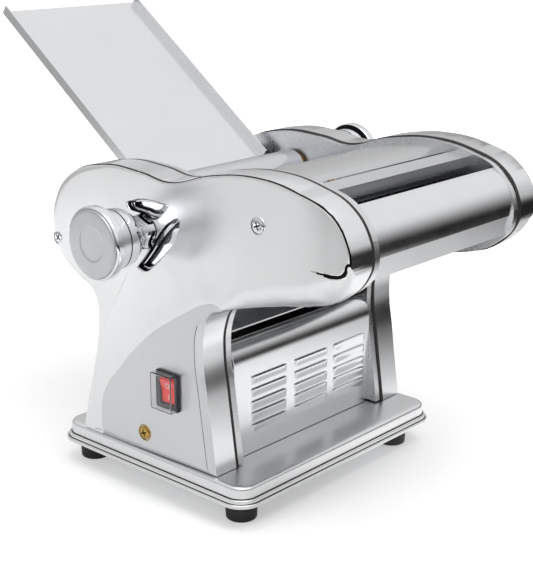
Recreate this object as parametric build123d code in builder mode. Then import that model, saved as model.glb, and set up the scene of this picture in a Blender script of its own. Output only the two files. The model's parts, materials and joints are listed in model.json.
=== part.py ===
import os
from math import acos, atan2, cos, degrees, hypot, pi, radians, sin, sqrt, tan

from build123d import *

os.makedirs("parts", exist_ok=True)

# Driving dimensions, millimetres. X runs along the rollers with the thickness knob at -X,
# -Y is the side where the noodles come out, and Z is up from the table.
plate_inner = 76.5  # inner face of each frame plate, from the middle
plate_web = 3.0
plate_outer = 82.5
cover_rim = 83.8  # open edge of each side cover
cover_face = 108.5
wall = 1.5
sheet = 1.2  # sheet metal of the panels and the small covers

tray_top = 34.0
tray_size = (219.0, 188.7)
tray_middle = -10.3
tray_corner = 14.0
lip_reach = 3.0
lip_bottom = 18.5
lip_height = 6.0
foot_height = 18.5
foot_places = [(x, y) for x in (-87.5, 87.5) for y in (-83.0, 73.0)]

motor_axis = (-25.0, 84.0)
cutter_height = 205.0
wide_front_axis = (-171.0, cutter_height)
wide_rear_axis = (-147.0, cutter_height)
narrow_front_axis = (-120.0, cutter_height)
narrow_rear_axis = (-96.0, cutter_height)
cutter_radius = 12.5
cutter_core = 10.9
cutter_half = 74.0
wide_noodle = 4.0
narrow_noodle = 2.0

knob_axis = (-13.5, 198.5)
roller_radius = 14.0
roller_half = 73.0
smallest_gap = 0.3
eccentricity = 1.1
line_angle = 28.0  # slope of the line through both dough rollers
shaft_radius = 6.0
journal_radius = 5.0
running_fit = 0.05
knob_turn = 180.0

knob_radius = 25.0
knob_face = 155.5
recess_radius = 26.5

fine_module = 1.5
coarse_module = 2.0
flank_play = 0.14
pressure_angle = radians(20)
inner_row = 84.5  # the two rows of gears in each side cover
outer_row = 94.0
gear_width = 7.0

rod_radius = 4.0
rod_places = [(-133.5, 228.0), (-62.0, 224.0), (42.0, 206.0), (30.0, 160.0)]
chute_low = (37.5, 218.0)
chute_high = (186.5, 331.0)
chute_half = 68.0
switch_place = (-34.0, 88.0)
switch_size = (22.0, 28.0)
chrome_screws = [(-118.5, 220.0), (80.0, 178.0)]
brass_screw = (-7.9, 48.5)
inlet_place = (-40.0, 62.0)
rear_panel_y = 34.0


# Places worked out from the dimensions.
def along(point, distance, angle=line_angle):
    return (point[0] + distance * cos(radians(angle)), point[1] + distance * sin(radians(angle)))


front_axis = along(knob_axis, -eccentricity)
rear_axis = along(knob_axis, 2 * roller_radius + smallest_gap + eccentricity)


# The centre of a gear that meshes with two others; turn is +1 or -1 for the side it lies on.
def centre_between(first, reach, second, other_reach, turn):
    span = hypot(second[0] - first[0], second[1] - first[1])
    forward = (reach**2 - other_reach**2 + span**2) / (2 * span)
    aside = turn * sqrt(reach**2 - forward**2)
    ahead = ((second[0] - first[0]) / span, (second[1] - first[1]) / span)
    return (
        first[0] + forward * ahead[0] - aside * ahead[1],
        first[1] + forward * ahead[1] + aside * ahead[0],
    )


roller_teeth, driven_teeth, bull_teeth, idler_teeth, output_teeth = 14, 22, 56, 32, 24
pair_teeth, link_teeth, feed_teeth = 16, 18, 20
bull_axis = centre_between(
    rear_axis,
    fine_module * (bull_teeth + driven_teeth) / 2,
    narrow_rear_axis,
    fine_module * (bull_teeth + feed_teeth) / 2,
    1,
)
idler_axis = centre_between(
    bull_axis,
    fine_module * (bull_teeth + idler_teeth) / 2,
    motor_axis,
    fine_module * (idler_teeth + output_teeth) / 2,
    1,
)


# The angle of one tooth of a gear, so that it meshes with a gear whose tooth angle is known.
def mesh_angle(known_angle, known_teeth, known_axis, teeth, axis):
    towards = degrees(atan2(axis[1] - known_axis[1], axis[0] - known_axis[0]))
    return towards + 180 - (known_angle - towards) * known_teeth / teeth + 180 / teeth


bull_angle = 0.0
driven_angle = mesh_angle(bull_angle, bull_teeth, bull_axis, driven_teeth, rear_axis)
feed_angle = mesh_angle(bull_angle, bull_teeth, bull_axis, feed_teeth, narrow_rear_axis)
idler_angle = mesh_angle(bull_angle, bull_teeth, bull_axis, idler_teeth, idler_axis)
output_angle = mesh_angle(idler_angle, idler_teeth, idler_axis, output_teeth, motor_axis)
roller_angle = mesh_angle(line_angle + 180, roller_teeth, rear_axis, roller_teeth, front_axis)


# One gear tooth pointing along +X: involute flanks thinned for backlash.
def tooth_points(teeth, module, play):
    pitch = module * teeth / 2
    base = pitch * cos(pressure_angle)
    root = pitch - 1.25 * module
    tip = pitch + 0.92 * module

    def half_angle(radius):
        pressure = acos(base / radius) if radius > base else 0.0
        roll = tan(pressure_angle) - pressure_angle - tan(pressure) + pressure
        return pi / (2 * teeth) - play / pitch + roll

    radii = [root - 0.3, max(base, root), pitch, (pitch + tip) / 2, tip]
    flank = [(r * cos(half_angle(r)), r * sin(half_angle(r))) for r in radii]
    return flank + [(x, -y) for x, y in reversed(flank)]


# A spur gear in the current part, from x = start on.
def gear(teeth, module, axis, angle, start, bore, play=flank_play, width=gear_width):
    with BuildSketch(Plane.YZ.offset(start)) as wheel:
        with Locations(axis):
            Circle(module * (teeth / 2 - 1.25))
            with PolarLocations(0, teeth, start_angle=angle):
                Polygon(*tooth_points(teeth, module, play), align=None)
            Circle(bore, mode=Mode.SUBTRACT)
    extrude(wheel.sketch, amount=width)


# A round bar or, with mode=Mode.SUBTRACT, a round hole along X in the current part.
def bar(axis, radius, start, end, mode=Mode.ADD):
    with BuildSketch(Plane.YZ.offset(start)) as section:
        with Locations(axis):
            Circle(radius)
    extrude(section.sketch, amount=end - start, mode=mode)


# A smooth curve through points, added to the current line: two arcs from each point to the next,
# with the direction at a point taken from the points beside it.
def arc_chain(points, first, last):
    places = [Vector(*point) for point in points]
    directions = [Vector(*first).normalized()]
    for before, here, after in zip(places, places[1:], places[2:]):
        back, ahead = here - before, after - here
        turn = back * (ahead.length / back.length) + ahead * (back.length / ahead.length)
        directions.append(turn.normalized())
    directions.append(Vector(*last).normalized())
    for start, end, leave, arrive in zip(places, places[1:], directions, directions[1:]):
        span = end - start
        across = span.dot(leave + arrive)
        bend = 2 - 2 * leave.dot(arrive)
        reach = span.dot(span) / (across + sqrt(across**2 + bend * span.dot(span)))
        first_knee = start + leave * reach
        second_knee = end - arrive * reach
        middle = (first_knee + second_knee) / 2
        TangentArc(start, middle, tangent=leave)
        TangentArc(middle, end, tangent=second_knee - first_knee)


# The side outline shared by the covers and the frame plates, in the Y-Z plane: up the back of the
# leg, round the rear lobe and the head, along the belly and down the front of the leg.
back_and_top = [
    (60.0, tray_top),
    (49.5, 81.0),
    (42.0, 118.0),
    (45.5, 141.5),
    (63.5, 152.5),
    (81.0, 165.5),
    (89.2, 184.0),
    (84.5, 207.0),
    (66.5, 227.0),
    (27.5, 239.5),
    (-11.5, 239.3),
    (-38.5, 236.2),
    (-76.5, 246.0),
    (-113.5, 250.3),
    (-147.5, 246.3),
    (-175.5, 235.0),
    (-188.5, 217.0),
    (-189.5, 198.7),
    (-171.5, 178.5),
    (-150.0, 170.5),
]
leg_front = [
    (-86.4, 156.9),
    (-74.0, 151.5),
    (-66.0, 136.0),
    (-64.5, 118.0),
    (-68.1, 90.0),
    (-76.0, tray_top),
]
belly = Vector(*leg_front[0]) - Vector(*back_and_top[-1])


def housing_face(inset=0.0):
    with BuildLine() as outline:
        arc_chain(back_and_top, (-0.35, 1), belly)
        Line(back_and_top[-1], leg_front[0])
        arc_chain(leg_front, belly, (-0.12, -1))
        Line(leg_front[-1], back_and_top[0])
    make_face(outline.edges())
    if inset:
        offset(amount=-inset)


# Base: a pressed tray with a beaded lip, closed from below, on four rubber feet.
with BuildPart() as base_tray:
    with BuildSketch(Plane.XY.offset(lip_bottom)):
        with Locations((0, tray_middle)):
            RectangleRounded(tray_size[0] + 2 * lip_reach, tray_size[1] + 2 * lip_reach, tray_corner + 3)
    extrude(amount=lip_height)
    fillet(base_tray.edges().group_by(Axis.Z)[-1], 2.4)
    with BuildSketch(Plane.XY.offset(lip_bottom)):
        with Locations((0, tray_middle)):
            RectangleRounded(tray_size[0], tray_size[1], tray_corner)
    extrude(amount=tray_top - lip_bottom)
    fillet(base_tray.edges().group_by(Axis.Z)[-1], 2.0)
    with BuildSketch(Plane.XY.offset(lip_bottom)):
        with Locations((0, tray_middle)):
            RectangleRounded(tray_size[0] - 5, tray_size[1] - 5, tray_corner - 2.5)
    extrude(amount=tray_top - wall - lip_bottom, mode=Mode.SUBTRACT)
base_tray.part.label = "base_tray"
export_step(base_tray.part, "parts/base_tray.step")

with BuildPart() as bottom_plate:
    with BuildSketch(Plane.XY.offset(lip_bottom)):
        with Locations((0, tray_middle)):
            RectangleRounded(tray_size[0] - 5.6, tray_size[1] - 5.6, tray_corner - 3)
        with Locations(*foot_places):
            Circle(2.1, mode=Mode.SUBTRACT)
        with Locations((0, tray_middle)):
            with GridLocations(14, 0, 9, 1):
                SlotOverall(40, 4, rotation=90, mode=Mode.SUBTRACT)
    extrude(amount=wall)
bottom_plate.part.label = "bottom_plate"
export_step(bottom_plate.part, "parts/bottom_plate.step")

with BuildPart() as rubber_feet:
    with Locations(*[(x, y, foot_height / 2) for x, y in foot_places]):
        Cone(11.0, 12.0, foot_height)
    fillet(rubber_feet.edges().group_by(Axis.Z)[0], 1.5)
    with Locations(*[(x, y, 0) for x, y in foot_places]):
        Cylinder(5.0, 8.0, align=(Align.CENTER, Align.CENTER, Align.MIN), mode=Mode.SUBTRACT)
        Cylinder(2.1, foot_height, align=(Align.CENTER, Align.CENTER, Align.MIN), mode=Mode.SUBTRACT)
rubber_feet.part.label = "rubber_feet"
export_step(rubber_feet.part, "parts/rubber_feet.step")

with BuildPart() as foot_screws:
    with Locations(*[(x, y, 5.0) for x, y in foot_places]):
        Cylinder(4.0, 3.0, align=(Align.CENTER, Align.CENTER, Align.MIN))
        Cylinder(2.0, 19.0, align=(Align.CENTER, Align.CENTER, Align.MIN))
    with Locations(*[(x, y, 5.0) for x, y in foot_places]):
        Box(5.0, 1.0, 2.4, mode=Mode.SUBTRACT)
        Box(1.0, 5.0, 2.4, mode=Mode.SUBTRACT)
foot_screws.part.label = "foot_screws"
export_step(foot_screws.part, "parts/foot_screws.step")

# The two sides: a frame plate with a rim that carries every shaft, and a deep cover outside it.
cutter_axes = [wide_front_axis, wide_rear_axis, narrow_front_axis, narrow_rear_axis]
cutter_bush_radius = 7.0
roller_bush_radius = 9.0
block_size = (24.0, 28.0)
block_travel = 2 * eccentricity
block_slot = along(front_axis, block_travel / 2)
cover_steps = [(0.0, 105.0), (0.6, 106.6), (1.4, cover_face)]

for side, name in ((-1, "near"), (1, "far")):
    with BuildPart() as frame_plate:
        with BuildSketch(Plane.YZ.offset(side * plate_inner)):
            housing_face(0.8)
        extrude(amount=side * (plate_outer - plate_inner))
        with BuildSketch(Plane.YZ.offset(side * (plate_inner + plate_web))):
            housing_face(3.0)
        extrude(amount=side * (plate_outer - plate_inner), mode=Mode.SUBTRACT)
        for axis in cutter_axes:
            bar(axis, cutter_bush_radius, side * plate_inner, side * plate_outer, Mode.SUBTRACT)
        bar(rear_axis, roller_bush_radius, side * plate_inner, side * plate_outer, Mode.SUBTRACT)
        with BuildSketch(Plane.YZ.offset(side * plate_inner)):
            with Locations(block_slot):
                Rectangle(block_size[0] + block_travel + 0.6, block_size[1] + 0.3, rotation=line_angle)
            with Locations(*rod_places, *chrome_screws[1:], brass_screw):
                Circle(2.1)
            if side > 0:
                with Locations(motor_axis):
                    Circle(7.0)
        extrude(amount=side * plate_outer, mode=Mode.SUBTRACT)
    frame_plate.part.label = f"{name}_frame_plate"
    export_step(frame_plate.part, f"parts/{name}_frame_plate.step")

    with BuildPart() as side_cover:
        for inset, depth in cover_steps:
            with BuildSketch(Plane.YZ.offset(side * cover_rim)):
                housing_face(inset)
            extrude(amount=side * (depth - cover_rim))
        with BuildSketch(Plane.YZ.offset(side * cover_rim)):
            housing_face(wall)
        extrude(amount=side * (cover_face - wall - cover_rim), mode=Mode.SUBTRACT)
        with BuildSketch(Plane.YZ.offset(side * cover_face)):
            with Locations(*chrome_screws, brass_screw):
                Circle(2.2)
            if side > 0:
                with Locations(rear_axis):
                    Circle(shaft_radius + 1.0)
            else:
                with Locations(knob_axis):
                    Circle(recess_radius)
                with Locations(switch_place):
                    Rectangle(switch_size[0] - 2, switch_size[1] - 2)
        extrude(amount=-side * 2 * wall, mode=Mode.SUBTRACT)
    side_cover.part.label = f"{name}_cover"
    export_step(side_cover.part, f"parts/{name}_cover.step")

# Bars that hold the two frame plates apart, and the screws in their ends.
with BuildPart() as tie_rods:
    for place in rod_places:
        bar(place, rod_radius, -plate_inner, plate_inner)
    for place in rod_places:
        bar(place, 2.0, -plate_inner, -plate_inner + 14, Mode.SUBTRACT)
        bar(place, 2.0, plate_inner, plate_inner - 14, Mode.SUBTRACT)
tie_rods.part.label = "tie_rods"
export_step(tie_rods.part, "parts/tie_rods.step")

with BuildPart() as rod_screws:
    for side in (-1, 1):
        for place in rod_places:
            bar(place, 1.95, side * (plate_inner - 12), side * (plate_inner + plate_web))
            bar(place, 3.6, side * (plate_inner + plate_web), side * (plate_inner + plate_web + 2.4))
rod_screws.part.label = "rod_screws"
export_step(rod_screws.part, "parts/rod_screws.step")

# Pillars and brackets between the frame plates and the covers, for the cover screws.
bracket_pillar = (-145.0, 232.0)
with BuildPart() as cover_pillars:
    for side in (-1, 1):
        base = side * (plate_inner + plate_web)
        for place in (chrome_screws[1], brass_screw):
            bar(place, 4.0, base, side * (cover_face - wall))
            bar(place, 2.05, side * 90, side * cover_face, Mode.SUBTRACT)
        bar(bracket_pillar, 4.0, base, side * 103)
        with BuildSketch(Plane.YZ.offset(side * 103)):
            with Locations(bracket_pillar, chrome_screws[0]):
                Circle(5.0)
            make_hull()
        extrude(amount=side * 2.5)
        bar(chrome_screws[0], 2.05, side * 102, side * 106, Mode.SUBTRACT)
cover_pillars.part.label = "cover_pillars"
export_step(cover_pillars.part, "parts/cover_pillars.step")


# A cross-slotted screw with a low domed head on the outside of a side cover.
def cover_screw(place, side, head_radius, reach):
    bar(place, 2.0, side * reach, side * cover_face)
    with BuildSketch(Plane.YZ.offset(side * cover_face)) as head:
        with Locations(place):
            Circle(head_radius)
    extrude(head.sketch, amount=side * 1.2, taper=35)
    with BuildSketch(Plane.YZ.offset(side * (cover_face + 1.2))) as cross:
        with Locations(place):
            Rectangle(head_radius * 0.9, 0.9)
            Rectangle(0.9, head_radius * 0.9)
    extrude(cross.sketch, amount=-side * 0.9, mode=Mode.SUBTRACT)


with BuildPart() as chrome_cover_screws:
    for side in (-1, 1):
        for place in chrome_screws:
            cover_screw(place, side, 5.0, 103.2)
chrome_cover_screws.part.label = "chrome_cover_screws"
export_step(chrome_cover_screws.part, "parts/chrome_cover_screws.step")

with BuildPart() as brass_cover_screws:
    for side in (-1, 1):
        cover_screw(brass_screw, side, 4.75, 92.0)
brass_cover_screws.part.label = "brass_cover_screws"
export_step(brass_cover_screws.part, "parts/brass_cover_screws.step")


# Covers and guides of thin sheet that reach from frame plate to frame plate.
with BuildPart() as front_cover:
    with BuildSketch(Plane.YZ.offset(-plate_inner)):
        with BuildLine():
            nose = ThreePointArc((-170.5, 236.0), (-184.3, 223.6), (-187.9, 205.0))
            Line(nose @ 1, (-184.0, 190.5))
            offset(amount=sheet, side=Side.LEFT)
        make_face()
    extrude(amount=2 * plate_inner)
front_cover.part.label = "front_cover"
export_step(front_cover.part, "parts/front_cover.step")

with BuildPart() as middle_cover:
    with BuildSketch(Plane.YZ.offset(-plate_inner)):
        with BuildLine():
            arc_chain([(-44.0, 231.0), (-88.0, 243.0), (-125.5, 245.2)], (-1, 0.33), (-1, -0.1))
            Line((-125.5, 245.2), (-127.0, 241.0))
            offset(amount=sheet, side=Side.LEFT)
        make_face()
    extrude(amount=2 * plate_inner)
middle_cover.part.label = "middle_cover"
export_step(middle_cover.part, "parts/middle_cover.step")

# The strip between the two feed slots, and the sloping guides under the rear slot.
slot_guide_lines = [((-104.0, 219.0), (-123.0, 238.0)), ((-112.5, 219.0), (-128.5, 235.0))]
with BuildPart() as feed_guides:
    with BuildSketch(Plane.YZ.offset(-plate_inner)):
        with BuildLine():
            Polyline((-135.5, 236.0), (-137.5, 243.6), (-150.0, 241.2), (-150.5, 234.5))
            offset(amount=sheet, side=Side.LEFT)
        make_face()
    extrude(amount=2 * plate_inner)
    for low, high in slot_guide_lines:
        with BuildSketch(Plane.YZ.offset(-plate_inner)):
            with BuildLine():
                Line(low, high)
                offset(amount=1.0, side=Side.LEFT)
            make_face()
        extrude(amount=2 * plate_inner)
feed_guides.part.label = "feed_guides"
export_step(feed_guides.part, "parts/feed_guides.step")

with BuildPart() as rear_cover:
    with BuildSketch(Plane.YZ.offset(-plate_inner)):
        with BuildLine():
            lobe = [(70.0, 219.0), (84.8, 186.0), (60.5, 156.0), (rear_panel_y, 134.0)]
            arc_chain(lobe, (0.72, -0.7), (-0.5, -0.87))
            offset(amount=sheet, side=Side.RIGHT)
        make_face()
    extrude(amount=2 * plate_inner)
rear_cover.part.label = "rear_cover"
export_step(rear_cover.part, "parts/rear_cover.step")

# Front panel with three columns of pressed louvres and a rolled top edge.
panel_y = -66.5
panel_top = 122.5
louvre_size = (36.0, 4.6)
louvre_pitch = (46.0, 9.15)
louvre_middle = (5.0, 71.5)
with BuildPart() as louvred_panel:
    with BuildSketch(Plane.YZ.offset(-plate_inner)):
        with BuildLine():
            upright = Line((panel_y, tray_top), (panel_y, panel_top - 4))
            RadiusArc(upright @ 1, (panel_y + 8, panel_top - 4), 4.0)
            offset(amount=sheet, side=Side.RIGHT)
        make_face()
    extrude(amount=2 * plate_inner)
    with BuildSketch(Plane.XZ.offset(-panel_y)):
        with Locations(louvre_middle):
            with GridLocations(*louvre_pitch, 3, 5):
                SlotOverall(louvre_size[0], louvre_size[1])
    extrude(amount=1.8, taper=30)
    with BuildSketch(Plane.XZ.offset(-panel_y + 3)):
        with Locations((louvre_middle[0], louvre_middle[1] - 1.7)):
            with GridLocations(*louvre_pitch, 3, 5):
                Rectangle(louvre_size[0] - 7, 1.5)
    extrude(amount=-8, mode=Mode.SUBTRACT)
louvred_panel.part.label = "louvred_panel"
export_step(louvred_panel.part, "parts/louvred_panel.step")

with BuildPart() as rear_panel:
    with BuildSketch(Plane.XZ.offset(-rear_panel_y)):
        with Locations((0, (tray_top + 133.0) / 2)):
            Rectangle(2 * plate_inner, 133.0 - tray_top)
        with Locations(inlet_place):
            Rectangle(27.4, 20.4, mode=Mode.SUBTRACT)
        with Locations((25.0, 75.0)):
            with GridLocations(0, 8.0, 1, 6):
                SlotOverall(50.0, 3.0, mode=Mode.SUBTRACT)
    extrude(amount=sheet)
rear_panel.part.label = "rear_panel"
export_step(rear_panel.part, "parts/rear_panel.step")

# The sloping plate under the rollers that the pressed sheet slides out on.
with BuildPart() as sheet_slide:
    with BuildSketch(Plane.YZ.offset(-plate_inner)):
        with BuildLine():
            Line((-55.5, 126.0), (rear_panel_y - 2, 148.0))
            offset(amount=sheet, side=Side.RIGHT)
        make_face()
    extrude(amount=2 * plate_inner)
sheet_slide.part.label = "sheet_slide"
export_step(sheet_slide.part, "parts/sheet_slide.step")

# Bushes in the frame plates: two for the rear dough roller and eight for the cutters.
with BuildPart() as bushes:
    for side in (-1, 1):
        bar(rear_axis, roller_bush_radius, side * plate_inner, side * plate_outer)
        bar(rear_axis, roller_bush_radius + 2, side * (plate_inner - 2), side * plate_inner)
        bar(rear_axis, shaft_radius + running_fit, side * 70, side * 90, Mode.SUBTRACT)
        for axis in cutter_axes:
            bar(axis, cutter_bush_radius, side * plate_inner, side * plate_outer)
            bar(axis, journal_radius + running_fit, side * 70, side * 90, Mode.SUBTRACT)
bushes.part.label = "bushes"
export_step(bushes.part, "parts/bushes.step")

# Rear dough roller: fixed axis, driven by the bull gear, with a hand knob on its far end.
knob_shaft_end = 146.0
with BuildPart() as rear_roller:
    bar(rear_axis, roller_radius, -roller_half, roller_half)
    bar(rear_axis, shaft_radius, -plate_outer, knob_shaft_end)
rear_roller.part.label = "rear_roller"
export_step(rear_roller.part, "parts/rear_roller.step")

with BuildPart() as rear_roller_gears:
    gear(roller_teeth, coarse_module, rear_axis, line_angle + 180, inner_row, shaft_radius + 0.02, 0.2)
    gear(driven_teeth, fine_module, rear_axis, driven_angle, outer_row, shaft_radius + 0.02)
rear_roller_gears.part.label = "rear_roller_gears"
export_step(rear_roller_gears.part, "parts/rear_roller_gears.step")


# The turned outline of a knob: a flat face, two bands with a groove between, and a flared neck.
def knob_body(axis, side):
    with BuildSketch(Plane(origin=(0, axis[0], axis[1]), x_dir=(1, 0, 0), z_dir=(0, -1, 0))) as half:
        with BuildLine():
            rim = Polyline(
                (side * 113.0, 0),
                (side * 113.0, 12.5),
                (side * 118.0, 11.5),
            )
            neck = Spline(
                rim @ 1,
                (side * 128.0, 13.5),
                (side * 136.0, 20.5),
                (side * 138.5, 22.6),
            )
            Polyline(
                neck @ 1,
                (side * 146.4, 24.0),
                (side * 147.0, 23.2),
                (side * 147.8, knob_radius),
                (side * (knob_face - 2.0), knob_radius),
                (side * (knob_face - 1.2), knob_radius - 0.8),
                (side * (knob_face - 1.2), 0),
                (side * 113.0, 0),
            )
        make_face()
    revolve(half.sketch, axis=Axis((0, axis[0], axis[1]), (1, 0, 0)))


# The satin disc in a knob's face.
def knob_cap(axis, side):
    bar(axis, knob_radius - 1.6, side * (knob_face - 1.2), side * knob_face)


with BuildPart() as hand_knob:
    knob_body(rear_axis, 1)
    bar(rear_axis, shaft_radius + 0.02, 110, knob_shaft_end + 0.5, Mode.SUBTRACT)
hand_knob.part.label = "hand_knob"
export_step(hand_knob.part, "parts/hand_knob.step")

with BuildPart() as hand_knob_cap:
    knob_cap(rear_axis, 1)
    fillet(hand_knob_cap.edges().group_by(Axis.X)[-1], 0.5)
hand_knob_cap.part.label = "hand_knob_cap"
export_step(hand_knob_cap.part, "parts/hand_knob_cap.step")

# Front dough roller: it turns in two blocks that slide in the frame plates to set the gap.
with BuildPart() as front_roller:
    bar(front_axis, roller_radius, -roller_half, roller_half)
    bar(front_axis, journal_radius, -82.0, inner_row + gear_width)
front_roller.part.label = "front_roller"
export_step(front_roller.part, "parts/front_roller.step")

with BuildPart() as front_roller_gear:
    gear(roller_teeth, coarse_module, front_axis, roller_angle, inner_row, journal_radius + 0.02, 0.2)
front_roller_gear.part.label = "front_roller_gear"
export_step(front_roller_gear.part, "parts/front_roller_gear.step")

carriage_bar_place = along(front_axis, -21.0)
block_start = 73.8
yoke_gap = (16.7, 20.0)
with BuildPart() as bearing_blocks:
    for side, block_end in ((-1, 91.0), (1, 83.0)):
        with BuildSketch(Plane.YZ.offset(side * block_start)):
            with Locations(along(front_axis, -6.5)):
                Rectangle(block_size[0] + 13, block_size[1], rotation=line_angle)
        extrude(amount=side * 2.5)
        with BuildSketch(Plane.YZ.offset(side * block_start)):
            with Locations(front_axis):
                Rectangle(*block_size, rotation=line_angle)
        extrude(amount=side * (block_end - block_start))
        bar(front_axis, journal_radius + running_fit, side * 70, side * 86, Mode.SUBTRACT)
    with BuildSketch(Plane.YZ.offset(-83.8)):
        with Locations(front_axis):
            Rectangle(*yoke_gap, rotation=line_angle)
    extrude(amount=-10, mode=Mode.SUBTRACT)
bearing_blocks.part.label = "bearing_blocks"
export_step(bearing_blocks.part, "parts/bearing_blocks.step")

with BuildPart() as carriage_bar:
    with BuildSketch(Plane.YZ.offset(-block_start)):
        with Locations(carriage_bar_place):
            Rectangle(7.0, 12.0, rotation=line_angle)
    extrude(amount=2 * block_start)
carriage_bar.part.label = "carriage_bar"
export_step(carriage_bar.part, "parts/carriage_bar.step")

# Thickness setting: an eccentric disc in the near block's yoke, turned by the near knob.
square_drive = 8.0
disc_radius = 8.0
drive_start = -112.5
drive_end = -133.5
spindle_end = -147.5
with BuildPart() as adjuster_spindle:
    bar(along(knob_axis, -eccentricity), disc_radius, -84.6, -90.6)
    bar(knob_axis, journal_radius, -90.6, drive_start)
    with BuildSketch(Plane.YZ.offset(drive_start)):
        with Locations(knob_axis):
            Rectangle(square_drive, square_drive)
    extrude(amount=drive_end - drive_start)
    bar(knob_axis, 3.5, drive_end, spindle_end)
adjuster_spindle.part.label = "adjuster_spindle"
export_step(adjuster_spindle.part, "parts/adjuster_spindle.step")

with BuildPart() as spindle_nut:
    with BuildSketch(Plane.YZ.offset(spindle_end)):
        with Locations(knob_axis):
            RegularPolygon(7.5, 6)
            Circle(3.52, mode=Mode.SUBTRACT)
    extrude(amount=2.5)
spindle_nut.part.label = "spindle_nut"
export_step(spindle_nut.part, "parts/spindle_nut.step")

bracket_depth = 96.0
bracket_start = plate_inner + plate_web
with BuildPart() as adjuster_bracket:
    with BuildSketch(Plane.YZ.offset(-bracket_start)):
        with Locations(knob_axis):
            Rectangle(38, 44, rotation=line_angle)
    extrude(amount=bracket_start - bracket_depth)
    with BuildSketch(Plane.YZ.offset(-bracket_start)):
        with Locations(knob_axis):
            Rectangle(34, 60, rotation=line_angle)
    extrude(amount=bracket_start - bracket_depth + 2.5, mode=Mode.SUBTRACT)
    bar(knob_axis, journal_radius + running_fit, -90, -100, Mode.SUBTRACT)
adjuster_bracket.part.label = "adjuster_bracket"
export_step(adjuster_bracket.part, "parts/adjuster_bracket.step")

# Six dimples for the six thickness settings, in a plate with ribs that fills the round recess.
index_face = 107.0
pin_radius = 1.5
pin_reach = 9.5
with BuildPart() as index_plate:
    bar(knob_axis, recess_radius + 3, -(index_face - 3), -index_face)
    with BuildSketch(Plane.YZ.offset(-index_face)):
        with Locations(knob_axis):
            with PolarLocations(19.5, 6, start_angle=25):
                Rectangle(12.0, 2.4)
    extrude(amount=-2.5)
    bar(knob_axis, journal_radius + running_fit, -100, -112, Mode.SUBTRACT)
    with BuildSketch(Plane.YZ.offset(-index_face)):
        with Locations(knob_axis):
            with PolarLocations(pin_reach, 6, start_angle=0, angular_range=knob_turn, endpoint=True):
                Circle(pin_radius + 0.3)
    extrude(amount=1.2, mode=Mode.SUBTRACT)
index_plate.part.label = "index_plate"
export_step(index_plate.part, "parts/index_plate.step")

with BuildPart() as gap_knob:
    knob_body(knob_axis, -1)
    with BuildSketch(Plane.YZ.offset(-110)):
        with Locations(knob_axis):
            Rectangle(square_drive + 0.16, square_drive + 0.16)
    extrude(amount=-30, mode=Mode.SUBTRACT)
    bar(knob_axis, 8.5, -134, -152, Mode.SUBTRACT)
    bar((knob_axis[0] + pin_reach, knob_axis[1]), pin_radius + 0.02, -110, -122, Mode.SUBTRACT)
gap_knob.part.label = "gap_knob"
export_step(gap_knob.part, "parts/gap_knob.step")

with BuildPart() as gap_knob_cap:
    knob_cap(knob_axis, -1)
    fillet(gap_knob_cap.edges().group_by(Axis.X)[0], 0.5)
gap_knob_cap.part.label = "gap_knob_cap"
export_step(gap_knob_cap.part, "parts/gap_knob_cap.step")

with BuildPart() as detent_pin:
    bar((knob_axis[0] + pin_reach, knob_axis[1]), pin_radius, -(index_face + 0.15), -122)
    fillet(detent_pin.edges().group_by(Axis.X)[-1], 0.6)
detent_pin.part.label = "detent_pin"
export_step(detent_pin.part, "parts/detent_pin.step")

spring_wire = 0.6
spring_start = -134.8
spring_length = 9.4
with BuildPart() as knob_spring:
    with BuildLine():
        coil = Helix(spring_length / 4, spring_length, 6.2, (spring_start, *knob_axis), (-1, 0, 0))
    with BuildSketch(Plane(coil @ 0, z_dir=coil % 0)):
        Circle(spring_wire)
    sweep(is_frenet=True)
knob_spring.part.label = "knob_spring"
export_step(knob_spring.part, "parts/knob_spring.step")


# A grooved cutting roller: lands and grooves one noodle wide; shift moves the lands by one.
def cutting_roller(axis, noodle, shift, near_end, far_end):
    count = int((2 * cutter_half - 4) / (2 * noodle))
    start = -count * noodle + shift * noodle
    outline = [(near_end, 0), (near_end, journal_radius), (-cutter_half, journal_radius)]
    outline += [(-cutter_half, cutter_core)]
    for n in range(count):
        low = start + 2 * noodle * n + 0.12
        high = low + noodle - 0.24
        outline += [(low, cutter_core), (low, cutter_radius), (high, cutter_radius), (high, cutter_core)]
    outline += [(cutter_half, cutter_core), (cutter_half, journal_radius)]
    outline += [(far_end, journal_radius), (far_end, 0)]
    with BuildSketch(Plane(origin=(0, axis[0], axis[1]), x_dir=(1, 0, 0), z_dir=(0, -1, 0))) as half:
        Polygon(*outline, align=None)
    revolve(half.sketch, axis=Axis((0, axis[0], axis[1]), (1, 0, 0)))


near_inner = -(inner_row + gear_width)
near_outer = -(outer_row + gear_width)
with BuildPart() as wide_front_cutter:
    cutting_roller(wide_front_axis, wide_noodle, 0, near_inner, plate_outer)
wide_front_cutter.part.label = "wide_front_cutter"
export_step(wide_front_cutter.part, "parts/wide_front_cutter.step")

with BuildPart() as wide_rear_cutter:
    cutting_roller(wide_rear_axis, wide_noodle, 1, near_inner, inner_row + gear_width)
wide_rear_cutter.part.label = "wide_rear_cutter"
export_step(wide_rear_cutter.part, "parts/wide_rear_cutter.step")

with BuildPart() as narrow_front_cutter:
    cutting_roller(narrow_front_axis, narrow_noodle, 0, near_outer, inner_row + gear_width)
narrow_front_cutter.part.label = "narrow_front_cutter"
export_step(narrow_front_cutter.part, "parts/narrow_front_cutter.step")

with BuildPart() as narrow_rear_cutter:
    cutting_roller(narrow_rear_axis, narrow_noodle, 1, near_outer, outer_row + gear_width)
narrow_rear_cutter.part.label = "narrow_rear_cutter"
export_step(narrow_rear_cutter.part, "parts/narrow_rear_cutter.step")

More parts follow.
